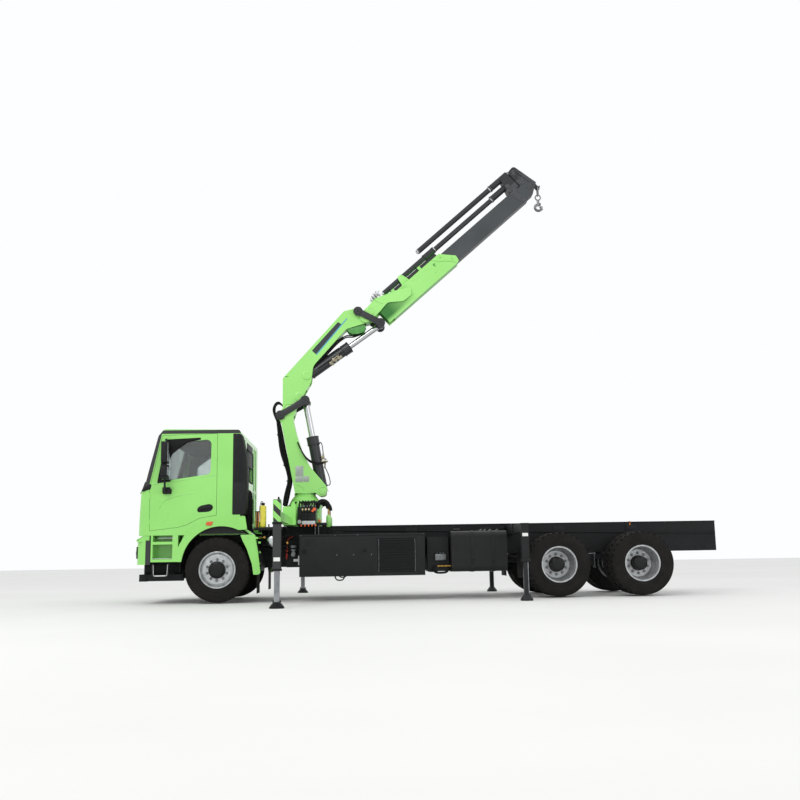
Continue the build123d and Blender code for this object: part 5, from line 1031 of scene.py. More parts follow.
for k in range(3):
    add_tube(red, [(1096, -690, 700 + k * 60), (1082, -700, 730 + k * 60), (1112, -700, 760 + k * 60),
            (1098, -690, 790 + k * 60)], 12)
add_tube(red, [(1098, -690, 910), (1100, -700, 1000), (1130, -640, 1060), (1180, -500, 1080)], 9)
piece("red_coiled_hose", red, "truck", red_hose)
bracket = bmesh.new()
add_plate(bracket, [(1286, 595), (1286, 753), (1316, 753), (1316, 595)], -700, -640, 4, 6)
add_plate(bracket, [(1207, 655), (1207, 700), (1290, 700), (1290, 655)], -690, -660, 4, 6)
piece("white_bracket", bracket, "truck", white_enamel)
small = bmesh.new()
add_rod(small, (735, -900, 1063), (735, -940, 1063), 22, sides=6, bevel_mm=3)
add_rod(small, (720, -905, 1063), (640, -905, 1063), 9, sides=10)
add_rod(small, (1120, -880, 970), (1120, -930, 970), 20, sides=6, bevel_mm=3)
piece("brass_drain_fittings", small, "truck", brass)
runs = bmesh.new()
for k, (y, z) in enumerate(((-940, 1090), (-880, 930), (-820, 870), (-760, 820))):
    add_tube(runs, [(690, y, z + 20), (780, y, z), (900, y + 20, z - 30), (1050, y + 10, z - 20),
            (1180, y + 30, z + 10), (1330, y + 40, z)], 11)
add_tube(runs, [(900, -900, 1110), (930, -905, 1150), (960, -850, 1190), (960, -700, 1206)], 10)
for y in (-900, 900):
    add_tube(runs, [(340, y * 0.8, 1180), (430, y * 0.8, 1150), (560, y * 0.7, 1120), (700, y * 0.55, 1110),
            (900, y * 0.5, 1080)], 14)
piece("air_lines", runs, "truck", seal_rubber)


# Outriggers
# Square tube beams in green enamel with a striped plate on each end, dark outer leg tubes
# with a blank white band, and ground and zinc-coated inner legs on dark cast feet.
LEG_HALF = 59
FRONT_LEG, REAR_LEG = (1135, 2990), (4948, 2005)


def leg_tube_mask(low_z, high_z, past_y):
    """1 on an upright tube, by its height and its distance from the middle plane in metres."""
    def mask(tree, place):
        _, across, height = parts_of(tree, place)
        return both(tree, mask_past(tree, across, past_y), mask_past(tree, height, low_z),
                mask_past(tree, height, high_z, above=False))
    return mask


def add_band(build, x, y, z0, z1, grow):
    """A square band round a leg tube, welded from four strips."""
    out = LEG_HALF + grow
    for x0, x1, y0, y1 in ((-out, out, -out, -LEG_HALF), (-out, out, LEG_HALF, out),
            (-out, -LEG_HALF, -LEG_HALF, LEG_HALF), (LEG_HALF, out, -LEG_HALF, LEG_HALF)):
        add_box(build, x + x0, x + x1, y + y0, y + y1, z0, z1, 3)


def stripe_mask(tree, place):
    """Diagonal bands that fall to the rear, 98 mm wide."""
    along, _, height = parts_of(tree, place)
    slope = add_node(tree, "ShaderNodeMath", {0: along, 1: height}, operation="ADD").outputs[0]
    share = add_node(tree, "ShaderNodeMath", {0: slope, 1: 1 / 0.196, 2: 0.34 + 20},
            operation="MULTIPLY_ADD").outputs[0]
    band = add_node(tree, "ShaderNodeMath", {0: share}, operation="FRACT").outputs[0]
    return mask_past(tree, band, 0.5)


beam_enamel = surface("green_beam_enamel_dark_leg", GREEN, GREEN_SHADE, 500, 0.3, 0.1, coat=0.4,
        grain_mm=10, grain=0.05, bands=(("#1A1B1C", leg_tube_mask(0.0, 1.236, 2.928)),))
rear_beam_paint = surface("black_rear_beam_paint", "#1C1D1E", "#161718", 200, 0.45, specular=0.25,
        grain_mm=6, grain=0.12, dust="#4A4844")
striped = surface("green_and_black_stripes", GREEN, GREEN_SHADE, 500, 0.3, coat=0.3, grain_mm=10,
        grain=0.05, bands=(("#1B1C1E", stripe_mask),))
leg_steel = surface("zinc_coated_leg_tube", "#9DA0A3", "#7F8285", 90, 0.36, 0.16, metallic=0.8, grain_mm=6,
        grain=0.12, bands=(("#1E1F21", leg_tube_mask(-1.0, 0.092, 0.0)),))
rear_leg_steel = surface("dark_rear_leg_tube", "#2C2E30", "#202224", 90, 0.4, specular=0.3, metallic=0.3,
        grain_mm=6, grain=0.12)
dress(beam_enamel, "front_beam_left", "front_beam_right")
dress(rear_beam_paint, "rear_beam_left", "rear_beam_right")
dress(leg_steel, "front_leg_left", "front_leg_right")
dress(rear_leg_steel, "rear_leg_left", "rear_leg_right")
for side, hand in SIDES:
    x, y = FRONT_LEG[0], side * FRONT_LEG[1]
    end = y + side * LEG_HALF
    plate = bmesh.new()
    add_plate(plate, [(1084, 1240), (1084, 1560), (1190, 1560), (1190, 1240)], end, end + side * 8, 2, 6)
    piece("end_plate_front_" + hand, plate, "front_beam_" + hand, striped)
    collar = bmesh.new()
    add_band(collar, x, y, 1206, 1240, 10)
    add_band(collar, x, y, 533, 566, 8)
    add_box(collar, 1080, 1190, y - 55, y + 55, 1561, 1570, 4)
    add_rod(collar, (1150, y - side * 20, 1566), (1150, y - side * 20, 1600), 14, sides=6)
    piece("leg_collars_front_" + hand, collar, "front_beam_" + hand, chassis_paint)
    band = bmesh.new()
    add_plate(band, [(1088, 672), (1088, 727), (1182, 727), (1182, 672)], end, end + side * 2.5, 1, 3)
    piece("blank_band_front_" + hand, band, "front_beam_" + hand, blank_plate)
    hose = bmesh.new()
    add_tube(hose, [(1150, y - side * 20, 1590), (1150, y - side * 34, 1606), (1152, y - side * 62, 1602),
            (1155, y - side * 98, 1570), (1156, y - side * 122, 1510), (1157, y - side * 130, 1452)], 11)
    piece("leg_hose_front_" + hand, hose, "front_beam_" + hand, seal_rubber)
    foot = bmesh.new()
    for cx, cy in ring_of(4, 1, 0.5):
        add_rod(foot, (x + 46 * cx, y + 46 * cy, 84), (x + 98 * cx, y + 98 * cy, 26), 7, sides=8)
    add_rod(foot, (x - 62, y, 100), (x + 62, y, 100), 13, bevel_mm=2)
    add_turned(foot, (x, y, 2), (0, 0, 1), [(0, 0), (0, 108), (6, 111), (14, 111), (20, 106), (20, 0)])
    piece("foot_ribs_front_" + hand, foot, "front_leg_" + hand, chassis_paint)

    x, y = REAR_LEG[0], side * REAR_LEG[1]
    end = y + side * LEG_HALF
    trim = bmesh.new()
    add_band(trim, x, y, 604, 640, 10)
    add_band(trim, x, y, 1180, 1206, 8)
    for along in (-23, 23):
        for z in (1140, 660):
            add_bolt(trim, (x + along, end, z), (0, side, 0), 10)
    piece("leg_collars_rear_" + hand, trim, "rear_beam_" + hand, rear_beam_paint)
    band = bmesh.new()
    add_plate(band, [(4902, 998), (4902, 1048), (4994, 1048), (4994, 998)], end, end + side * 2.5, 1, 3)
    piece("blank_band_rear_" + hand, band, "rear_beam_" + hand, blank_plate)
    # A bright strip down the dark inner leg stands in for the highlight seen along it: painted highlight.
    strip = bmesh.new()
    add_box(strip, 4974, 4984, y + side * 39, y + side * 42, 110, 600, 1)
    piece("highlight_strip_rear_" + hand, strip, "rear_leg_" + hand, leg_steel)


# Crane base
# A fabricated box on the subframe with a flared skirt under the slewing ring, in the same
# green enamel, with its bolt circle, racks and the tied-up loops of hose round it.
dress(green_enamel, "crane_base")
SLEW_X = 1362
flange = bmesh.new()
add_turned(flange, (SLEW_X, 0, 1800), (0, 0, 1), [(0, 172), (0, 190), (22, 190), (26, 186), (26, 172)],
        sides=56)
add_turned(flange, (SLEW_X, 0, 1600), (0, 0, 1), [(0, 290), (0, 312), (24, 312), (30, 306), (34, 296),
        (150, 236), (196, 200), (204, 186)], sides=56)
for side in (-1, 1):
    add_plate(flange, [(1206, 1255), (1206, 1590), (1232, 1640), (1248, 1640), (1280, 1590), (1280, 1255)],
            side * 1240, side * 1170, 5, 8)
    add_plate(flange, [(1560, 1256), (1620, 1256), (1660, 1330), (1560, 1480)], side * 330, side * 344, 4, 10)
    add_plate(flange, [(1066, 1262), (1066, 1560), (1200, 1560), (1200, 1262)], side * 1236, side * 1243, 3,
            8)
piece("base_flanges", flange, "truck", green_enamel)
studs = bmesh.new()
for ring, z, size in ((306, 1628, 12), (181, 1826, 8)):
    for along, across in ring_of(20, ring):
        add_bolt(studs, (SLEW_X + along, across, z), (0, 0, 1), size)
for side in (-1, 1):
    for x in (760, 860, 960, 1560, 1620):
        add_rod(studs, (x, side * 440, 980), (x, side * 440, 1290), 12, sides=10)
        add_bolt(studs, (x, side * 440, 1286), (0, 0, 1), 17)
piece("base_bolts", studs, "truck", zinc_bolts)

# Control stand: a cast valve bank behind a black plate with a row of levers, each with a
# pale knob over a black gaiter, a gauge, alloy label strips left blank, and brass unions.
dress(powder_coat, "control_stand")
knob_plastic = surface("cream_phenolic_knob", "#D8C49A", "#C4AD80", 12, 0.3, coat=0.3, grain_mm=3, grain=0.1)
STAND_Y = 1000
LEVERS = (1382, 1435, 1488)
orange_knob = surface("orange_phenolic_knob", "#EE6A2A", "#D4551C", 15, 0.35, coat=0.3, grain_mm=4, grain=0.1)
for side, hand in FLANKS:
    face = side * STAND_Y
    board = bmesh.new()
    add_frame(board, [(1282, 1258), (1282, 1566), (1612, 1566), (1612, 1258)], face, face + side * 16, 20,
            4, 16)
    for x in LEVERS:
        add_box(board, x - 18, x + 18, face, face + side * 22, 1400, 1478, 6)
        add_turned(board, (x, face + side * 10, 1470), (0, side * 0.8, 0.6),
                [(0, 22), (14, 19), (18, 15), (26, 16), (34, 9)], sides=18)
        add_box(board, x - 16, x + 16, face, face + side * 30, 1348, 1390, 7)
    for k in range(7):
        add_box(board, 1352 + k * 30, 1370 + k * 30, face, face + side * 14, 1336, 1346, 2)
    add_box(board, 1612, 1780, side * 640, side * 900, 1256, 1300, 8)
    piece("lever_board_" + hand, board, "truck", black_plastic)
    knobs = bmesh.new()
    for x in LEVERS:
        add_rod(knobs, (x, face + side * 14, 1480), (x, face + side * 50, 1512), 5, sides=8)
        bmesh.ops.create_uvsphere(knobs, u_segments=18, v_segments=12, radius=0.017,
                matrix=Matrix.Translation(at(x, face + side * 54, 1516)))
    piece("lever_knobs_" + hand, knobs, "truck", knob_plastic)
    reds = bmesh.new()
    for x, y, z, radius in ((1577, face + side * 20, 1518, 28), (1548, face + side * 24, 1490, 20),
            (1652, side * 800, 1330, 26)):
        add_turned(reds, (x, y, z), (0, side, 0), [(-8, 0), (-8, radius * 0.6), (0, radius * 0.62),
                (4, radius), (16, radius), (22, radius * 0.8), (23, 0)], sides=24)
    for x in (1358, 1420, 1482, 1540, 1596):
        add_rod(reds, (x, face + side * 4, 1262), (x, face + side * 40, 1240), 13, sides=10, bevel_mm=3)
    piece("emergency_knobs_" + hand, reds, "truck", orange_knob)
    dial = bmesh.new()
    add_turned(dial, (1325, face, 1313), (0, side, 0), [(0, 34), (14, 34), (18, 30), (18, 27), (12, 27),
            (12, 0)], sides=32)
    add_plate(dial, [(1366, 1268), (1366, 1326), (1592, 1326), (1592, 1268)], face + side * 2,
            face + side * 8, 2, 6)
    add_rod(dial, (1325, face + side * 13, 1313), (1340, face + side * 13, 1328), 1.6, sides=6)
    piece("gauge_and_strips_" + hand, dial, "truck", tread_metal)

# Hydraulic hoses over the valve bank: black rubber with crimped steel ends.
hoses = bmesh.new()
crimps = bmesh.new()
for side in (-1, 1):
    for k in range(7):
        x = 1308 + k * 44
        y = side * (780 + 24 * (k % 3))
        add_tube(hoses, [(x, y, 1556), (x, y, 1620), (x + 16, y - side * 60, 1668 + 12 * (k % 2)),
                (x + 34, y - side * 190, 1655), (x + 20, y - side * 300, 1560), (x, side * 420, 1470),
                (x - 20, side * 340, 1400)], 15)
        add_rod(crimps, (x, y, 1552), (x, y, 1600), 17, sides=12, bevel_mm=2)
    add_tube(hoses, outward(side, 0, [(1585, 420, 1560), (1600, 420, 1615), (1640, 410, 1672),
            (1700, 400, 1692), (1760, 400, 1665), (1790, 400, 1610), (1792, 402, 1560)]), 44, sides=16)
    add_tube(hoses, outward(side, 0, [(1180, 300, 1552), (1176, 290, 1640), (1230, 200, 1700),
            (1300, 200, 1670), (1380, 330, 1640), (1480, 420, 1600)]), 16)
    add_tube(hoses, outward(side, 0, [(1792, 440, 1240), (1792, 446, 1180), (1786, 446, 1110)]), 8)
piece("valve_bank_hoses", hoses, "truck", seal_rubber)
piece("hose_crimps", crimps, "truck", zinc_bolts)
valve_can = bmesh.new()
for side in (-1, 1):
    add_turned(valve_can, (1792, side * 428, 1238), (0, 0, 1), [(0, 0), (0, 36), (8, 40), (170, 40),
            (196, 30), (208, 24), (210, 0)], sides=28)
piece("accumulator", valve_can, "truck", green_enamel)
neck = bmesh.new()
for side in (-1, 1):
    add_rod(neck, (1792, side * 428, 1440), (1792, side * 424, 1500), 16, sides=6, bevel_mm=2)
    add_rod(neck, (1792, side * 424, 1500), (1792, side * 402, 1570), 12, sides=12)
    add_rod(neck, (1792, side * 428, 1256), (1792, side * 388, 1256), 12, sides=10)
piece("accumulator_neck", neck, "truck", brass)


# Slewing column
# A box column welded from high-strength plate on the slewing gear, in the green enamel,
# with blank alloy data plates, grinding arcs at its foot and the hose bundle up its front.
# This green is lighter than the same enamel on the cab and base: painted light on the raised column and
# booms. What faces down is darker: painted shade.
crane_enamel = surface("green_crane_enamel_painted_light_and_shade", "#A0E27F", "#97DA76", 900, 0.34, 0.08, specular=0.3, coat=0.1,
        grain_mm=14, grain=0.03, underside_shade="#3F8A3C")
COLUMN_HALF = 165
dress(crane_enamel, "column")
column_trim = bmesh.new()
for side in (-1, 1):
    face = side * COLUMN_HALF
    for centre_x, centre_z, radius, start, sweep in ((1215, 1850, 150, 0, 90), (1690, 1862, 90, 20, 130)):
        arc = [(centre_x + radius * math.cos(math.radians(start + sweep * k / 8)), face + side,
                centre_z + radius * math.sin(math.radians(start + sweep * k / 8))) for k in range(9)]
        add_tube(column_trim, arc, 5, sides=8)
    add_box(column_trim, 1186, 1548, face, face + side * 5, 1853, 1866, 2)
    add_rod(column_trim, (1680, face, 1872), (1680, face + side * 10, 1872), 62, sides=32, bevel_mm=3)
    add_rod(column_trim, (1091, face, 3343), (1091, face + side * 5, 3343), 92, sides=36, bevel_mm=2)
for z, radius in ((1838, 196), (1824, 186)):
    add_turned(column_trim, (SLEW_X, 0, z), (0, 0, 1), [(0, 150), (0, radius), (8, radius + 2),
            (12, radius - 4), (12, 150)], sides=56)
piece("column_welds_and_rings", column_trim, "column", crane_enamel)
plates = bmesh.new()
for side in (-1, 1):
    for x0, x1, z0, z1 in ((1199, 1340, 2150, 2334), (1199, 1340, 2047, 2146), (1344, 1440, 2050, 2154)):
        add_plate(plates, [(x0, z0), (x0, z1), (x1, z1), (x1, z0)], side * COLUMN_HALF,
                side * (COLUMN_HALF + 2.5), 0.8, 4)
data_plate = surface("blank_anodised_data_plate", "#A9B2AC", "#9AA49D", 60, 0.4, metallic=0.5, grain_mm=5,
        grain=0.1)
piece("blank_data_plates", plates, "column", data_plate)

# Hose bundle: three rows of hoses in woven sleeves, strapped to the column's front face,
# fanning out at the foot and turning over the top into the inner boom.
woven = surface("woven_hose_sleeve", "#161718", "#0E0F0F", 14, 0.75, specular=0.2, grain_mm=7, grain=0.8)
bundle = bmesh.new()
for row in range(3):
    off = row * 27
    for y in ((-92, -55, -18, 18, 55, 92) if row % 2 == 0 else (-74, -37, 0, 37, 74)):
        add_tube(bundle, [(1014 - off * 0.4, y * 1.7, 1640), (1040 - off * 0.8, y * 1.5, 1730),
                (1074 - off * 0.8, y * 1.3, 1900), (1118 - off * 0.7, y * 1.1, 2080),
                (1086 - off * 0.8, y, 2270), (1004 - off * 1.4, y, 2585), (944 - off, y, 2905),
                (906 - off * 0.6, y, 3090), (880 - off * 0.4, y, 3190)], 20, sides=12)
piece("column_hose_bundle", bundle, "column", woven)
ties = bmesh.new()
for x, z in ((1098, 2085), (1040, 2370), (978, 2640), (925, 2920)):
    add_tube(ties, [(x - 62, -116, z - 8), (x - 62, 116, z - 8)], 6)
    for y in (-116, 116):
        add_tube(ties, [(x - 60, y, z - 10), (x + 30, y, z + 10)], 6)
piece("bundle_clamps", ties, "column", seal_rubber)
over = bmesh.new()
for y, grow in ((-92, 0), (-66, 30), (-40, 12), (-14, 40), (14, 6), (40, 34), (66, 18), (92, 44)):
    add_tube(over, [(862, y, 3140), (838 - grow * 0.7, y, 3250), (818 - grow, y, 3350),
            (822 - grow, y, 3430), (852 - grow * 0.5, y, 3478 + grow), (905, y, 3484 + grow),
            (962, y, 3440)], 10, sides=10)
piece("hoses_over_the_head", over, "column", seal_rubber)


# Inner boom
# A cranked box of bent and welded high-strength plate with welded pin bosses, in green
# enamel. The long stripe and thin blue line are cut film and stay blank.
INNER_HALF = 125
dress(crane_enamel, "inner_boom")
stripe_black = surface("dark_blue_black_film", "#1D2430", "#181E28", 300, 0.32, coat=0.3, grain_mm=12,
        grain=0.04)
line_blue = surface("bright_blue_film", "#2E9BD6", "#2A8DC6", 300, 0.32, coat=0.3, grain_mm=12, grain=0.04)
stripe = bmesh.new()
blue = bmesh.new()
bosses = bmesh.new()
for side in (-1, 1):
    face = side * INNER_HALF
    add_plate(stripe, [(1489, 4450), (1968, 4985), (2030, 4944), (1564, 4379)], face, face + side * 1.2, 0, 2)
    add_plate(blue, [(1567, 4376), (2122, 5052), (2138, 5044), (1578, 4368)], face, face + side * 1.2)
    for x, z, radius in ((1395, 3992, 84), (1258, 3602, 82), (2450, 5020, 60)):
        add_turned(bosses, (x, face, z), (0, side, 0), [(0, radius + 7), (3, radius + 5), (6, radius),
                (6, radius * 0.55), (3, radius * 0.52), (3, 0)], sides=44)
    add_tube(bosses, outward(side, INNER_HALF, [(1004, 1, 3440), (1040, 2, 3462), (1090, 2, 3468),
            (1136, 1, 3456)]), 5, sides=8)
piece("boom_side_stripe", stripe, "inner_boom", stripe_black)
piece("boom_blue_line", blue, "inner_boom", line_blue)
piece("boom_pin_bosses", bosses, "inner_boom", crane_enamel)
# A darker green laid in the boom's slots, lifting hole and nose recess: painted shade.
shade_green = surface("green_enamel_painted_shade_in_slots", "#4E9A45", "#458A3D", 80, 0.4, coat=0.2,
        grain_mm=10, grain=0.05)
# The drain slots are dark green tubes on the side: painted shade of the slots.
slots = bmesh.new()
for side in (-1, 1):
    add_tube(slots, [(x, side * INNER_HALF, z) for x, z in ((998, 3968), (1030, 3972), (1062, 3966))], 6,
            sides=8)
piece("boom_drain_slots", slots, "inner_boom", shade_green)
# The nose webs are real plates; their darker green is painted shade.
gusset = bmesh.new()
for side in (-1, 1):
    add_plate(gusset, [(2128, 4860), (2420, 4930), (2490, 4920), (2440, 4800), (2330, 4764), (2230, 4766),
            (2160, 4800)], side * 88, side * 104, 3, 10)
piece("boom_nose_webs", gusset, "inner_boom", shade_green)
belly = bmesh.new()
for y in (-84, -52, -20, 20, 52, 84):
    add_tube(belly, [(1475, y, 4040), (1520, y, 4130), (1640, y, 4285), (1760, y, 4420), (1880, y, 4556),
            (1990, y, 4668), (2060, y, 4712)], 13, sides=10)
piece("boom_underside_hoses", belly, "inner_boom", seal_rubber)
hose_clips = bmesh.new()
for x, z in ((1560, 4190), (1760, 4424), (1950, 4632)):
    add_box(hose_clips, x - 12, x + 12, -104, 104, z - 20, z + 20, 4)
piece("boom_hose_clips", hose_clips, "inner_boom", chassis_paint)


# Link plates
# Pairs of burnt steel plates in dark grey enamel, each swinging on greased pins that a
# round cap and a bolt hold in place.
grey_enamel = surface("grey_boom_enamel", "#47494C", "#404245", 500, 0.38, specular=0.3, coat=0.1,
        grain_mm=10, grain=0.06)
dark_enamel = surface("dark_grey_crane_enamel", "#303234", "#2A2C2E", 400, 0.36, specular=0.3, coat=0.15,
        grain_mm=10, grain=0.06)
dress(dark_enamel, "lift_links", "fold_links")
LIFT_EYE, FOLD_EYE = (1367, 3522), (2748, 4952)    # where each rod meets its links
for links, places in (("lift_links", ((925, 3253), LIFT_EYE)), ("fold_links", ((2337, 5171), FOLD_EYE))):
    covers = bmesh.new()
    (x0, z0), (x1, z1) = places
    long = math.hypot(x1 - x0, z1 - z0)
    ux, uz = (x1 - x0) / long, (z1 - z0) / long
    for side in (-1, 1):
        corners = []
        for along, aside in ((0, 60), (0.5 * long, 54), (long, 62), (long, -62), (0.5 * long, -54), (0, -60)):
            corners.append((x0 + ux * along - uz * aside, z0 + uz * along + ux * aside))
        add_plate(covers, corners, side * 173, side * 199, 3)
        for x, z in places:
            add_turned(covers, (x, side * 173, z), (0, side, 0), [(0, 44), (0, 84), (24, 86), (28, 82),
                    (28, 44)], sides=44)
        add_turned(covers, (x0, side * 197, z0), (0, side, 0), [(0, 60), (14, 60), (18, 55), (18, 24),
                (14, 22), (14, 0)], sides=36)
        add_turned(covers, (x1, side * 197, z1), (0, side, 0), [(0, 56), (8, 56), (11, 52), (11, 24),
                (7, 22), (7, 0)], sides=36)
        for x, z, top in ((x0, z0, 212), (x1, z1, 204)):
            add_rod(covers, (x, side * (top - 3), z), (x, side * (top + 6), z), 13, sides=6)
    piece(links.replace("links", "link_plates_and_caps"), covers, links, dark_enamel)


# Lift and fold cylinders
# Honed steel barrels in dark enamel with screwed glands, hard-chromed ground rods that
# mirror the sky, and zinc-coated lock valves with steel pipes and short rubber hoses.
def eye_mask(eye):
    """1 within 88 mm of a pin: the rod's forged eye is painted, not chromed."""
    x, z = eye[0] / 1000, eye[1] / 1000

    def mask(tree, place):
        flat = add_node(tree, "ShaderNodeVectorMath", {0: place, 1: (1.0, 0.0, 1.0)},
                operation="MULTIPLY").outputs["Vector"]
        far = add_node(tree, "ShaderNodeVectorMath", {0: flat, 1: (FRONT_AXLE_X + x, 0.0, z)},
                operation="DISTANCE").outputs["Value"]
        return mask_past(tree, far, 0.088, above=False)
    return mask


hard_chrome = surface("hard_chromed_rod", "#CFD0D2", "#C0C1C3", 200, 0.09, 0.04, metallic=1.0, grain_mm=12,
        grain=0.02, bands=(("#2B2C2E", eye_mask(LIFT_EYE)), ("#2B2C2E", eye_mask(FOLD_EYE))))
olive_fitting = surface("yellow_zinc_valve_block", "#A39C86", "#867F6A", 40, 0.36, metallic=0.7, grain_mm=5,
        grain=0.15)
dress(dark_enamel, "lift_barrel", "fold_barrel")
dress(hard_chrome, "lift_rod", "fold_rod")
for name, foot, tip, long, radius, rod_radius in (("lift", (1680, 1872), LIFT_EYE, 1019, 110, 58),
        ("fold", (1397, 3981), FOLD_EYE, 963, 107, 52)):
    reach = math.hypot(tip[0] - foot[0], tip[1] - foot[1])
    ux, uz = (tip[0] - foot[0]) / reach, (tip[1] - foot[1]) / reach

    def on_axis(along, aside, y):
        """A point along a cylinder from its foot pin, aside from its axis, and across."""
        return (foot[0] + ux * along + uz * aside, y, foot[1] + uz * along - ux * aside)

    gland = bmesh.new()
    heading = (ux, 0, uz)
    for along, size in ((long - 20, radius + 3), (long - 150, radius + 3), (96, radius - 6)):
        add_turned(gland, on_axis(along, 0, 0), heading, [(0, radius - 14), (0, size), (3, size + 3),
                (15, size + 3), (18, size), (18, radius - 14)], sides=48)
    for aside, across in ring_of(8, radius - 26):
        add_rod(gland, on_axis(long - 4, aside, across), on_axis(long + 4, aside, across), 9, sides=6)
    piece(name + "_gland_rings", gland, name + "_barrel", dark_enamel)
    wiper = bmesh.new()
    add_turned(wiper, on_axis(long - 1, 0, 0), heading, [(0, rod_radius + 2), (0, rod_radius + 16),
            (6, rod_radius + 14), (9, rod_radius + 3), (0, rod_radius + 2)])
    piece(name + "_wiper_seal", wiper, name + "_barrel", seal_rubber)

lift_valves = bmesh.new()
add_box(lift_valves, 1655, 1738, -78, -22, 2378, 2438, 7)
add_box(lift_valves, 1650, 1712, -74, -26, 2460, 2524, 7)
for x, z in ((1700, 2408), (1738, 2408), (1690, 2495)):
    add_rod(lift_valves, (x, -112, z), (x, -70, z), 17, sides=6, bevel_mm=2)
add_rod(lift_valves, (1716, -52, 2300), (1724, -52, 2390), 14, sides=6)
add_rod(lift_valves, (1690, -52, 2515), (1688, -52, 2566), 16, sides=6, bevel_mm=2)
add_rod(lift_valves, (1738, -52, 2418), (1774, -52, 2424), 15, sides=6, bevel_mm=2)
add_rod(lift_valves, (1712, -52, 2470), (1748, -52, 2456), 13, sides=6, bevel_mm=2)
piece("lift_lock_valve", lift_valves, "lift_barrel", olive_fitting)
lift_hoses = bmesh.new()
for grow in (0, 26):
    add_tube(lift_hoses, [(1236, -150 - grow, 2760), (1262, -168 - grow, 2700), (1340, -180 - grow, 2540),
            (1420, -180 - grow, 2450 - grow), (1503, -176 - grow, 2404 - grow),
            (1590, -170 - grow, 2384 - grow), (1680, -150, 2392 - grow * 0.4), (1730, -112, 2410)], 12)
piece("lift_cylinder_hoses", lift_hoses, "column", seal_rubber)
lift_pipes = bmesh.new()
add_tube(lift_pipes, [(1688, -52, 2560), (1682, -56, 2640), (1664, -60, 2745), (1640, -60, 2772),
        (1612, -50, 2740), (1606, -30, 2700)], 8)
add_tube(lift_pipes, [(1722, -52, 2320), (1752, -56, 2250), (1786, -60, 2180), (1814, -60, 2060),
        (1812, -50, 2006), (1776, -30, 1990), (1742, -20, 2010)], 8)
piece("lift_cylinder_pipes", lift_pipes, "lift_barrel", chassis_paint)
fold_valves = bmesh.new()
for x, z, sx, sz in ((1842, 4216, 34, 24), (1902, 4276, 46, 32), (1978, 4316, 42, 28), (1872, 4196, 26, 16),
        (2020, 4336, 22, 18)):
    add_box(fold_valves, x - sx, x + sx, -122, -84, z - sz, z + sz, 7)
for x, z in ((1850, 4240), (1910, 4306), (1990, 4294), (1948, 4336)):
    add_rod(fold_valves, (x, -120, z), (x, -140, z), 16, sides=6, bevel_mm=2)
    add_rod(fold_valves, (x, -110, z), (x + 26, -114, z + 40), 11, sides=8)
piece("fold_lock_valve", fold_valves, "fold_barrel", olive_fitting)
fold_pipes = bmesh.new()
add_tube(fold_pipes, [(1936, -112, 4306), (1950, -116, 4345), (1990, -110, 4396), (2046, -96, 4420),
        (2070, -80, 4440)], 9)
add_tube(fold_pipes, [(1874, -112, 4240), (1850, -120, 4270), (1800, -110, 4262), (1700, -100, 4190),
        (1600, -96, 4116)], 9)
for y in (-40, 40):
    add_tube(fold_pipes, [(1560, y, 4215), (1700, y, 4318), (1850, y, 4424), (1930, y, 4484),
            (1990, y, 4520)], 9)
piece("fold_cylinder_pipes", fold_pipes, "fold_barrel", chassis_paint)
for name, (x, z) in (("lift", LIFT_EYE), ("fold", FOLD_EYE)):
    bush = bmesh.new()
    for side in (-1, 1):
        add_turned(bush, (x, side * 59, z), (0, side, 0), [(0, 44), (0, 76), (5, 80), (12, 80), (15, 74),
                (15, 44)])
    piece(name + "_rod_eye_bush", bush, name + "_rod", dark_enamel)


# Outer boom
# A folded and welded box with flared ears at the knuckle and a bolted wear-pad collar at
# its open end, in green enamel; its ram is strapped on top in dark grey.
BOOM_ANGLE = math.radians(41.6)
BOOM_HEADING = (math.cos(BOOM_ANGLE), 0, math.sin(BOOM_ANGLE))
KNUCKLE_X, KNUCKLE_Z = 2480, 5075
OUTER_HALF = 131
RAM_1, RAM_2 = 136, 306          # each extension ram's axis above the boom's line


def on_boom(along, above, y):
    """A point given along and above the raised boom's line from its knuckle pin."""
    return (KNUCKLE_X + along * math.cos(BOOM_ANGLE) - above * math.sin(BOOM_ANGLE), y,
            KNUCKLE_Z + along * math.sin(BOOM_ANGLE) + above * math.cos(BOOM_ANGLE))


def boom_axes(tree, place):
    """Lengths along and above the raised boom's line, in metres."""
    pin = (FRONT_AXLE_X + KNUCKLE_X / 1000, 0.0, KNUCKLE_Z / 1000)
    step = add_node(tree, "ShaderNodeVectorMath", {0: place, 1: pin}, operation="SUBTRACT").outputs["Vector"]
    made = []
    for axis in (BOOM_HEADING, (-math.sin(BOOM_ANGLE), 0.0, math.cos(BOOM_ANGLE))):
        made.append(add_node(tree, "ShaderNodeVectorMath", {0: step, 1: axis},
                operation="DOT_PRODUCT").outputs["Value"])
    return made


def ram_mask(tree, place):
    """The ram above the box, but not its green straps."""
    along, above = boom_axes(tree, place)
    return both(tree, mask_past(tree, above, 0.078), mask_past(tree, along, 0.560))


def boom_plate(build, corners, y0, y1, bevel_mm=0, round_mm=0):
    """A plate cut to an outline along and above the boom."""
    flat = [(point[0], point[2]) for point in (on_boom(along, above, 0) for along, above in corners)]
    add_plate(build, flat, y0, y1, bevel_mm, round_mm)


def recess_shade_mask(tree, place):
    """Painted shade on the box's side below the flared ear, which lies back out of the light."""
    along, above = boom_axes(tree, place)
    across = parts_of(tree, place)[1]
    fade = add_node(tree, "ShaderNodeMapRange", {"Value": along, "From Min": 0.42, "From Max": 1.02,
            "To Min": 0.95, "To Max": 0.0}).outputs["Result"]
    low = add_node(tree, "ShaderNodeMapRange", {"Value": above, "From Min": -0.365,
            "From Max": -0.28}).outputs["Result"]
    inside = both(tree, mask_past(tree, across, 0.136, above=False), mask_past(tree, above, -0.02,
            above=False), mask_past(tree, along, 0.25))
    return add_node(tree, "ShaderNodeMath", {0: add_node(tree, "ShaderNodeMath", {0: fade, 1: low},
            operation="MULTIPLY").outputs[0], 1: inside}, operation="MULTIPLY").outputs[0]
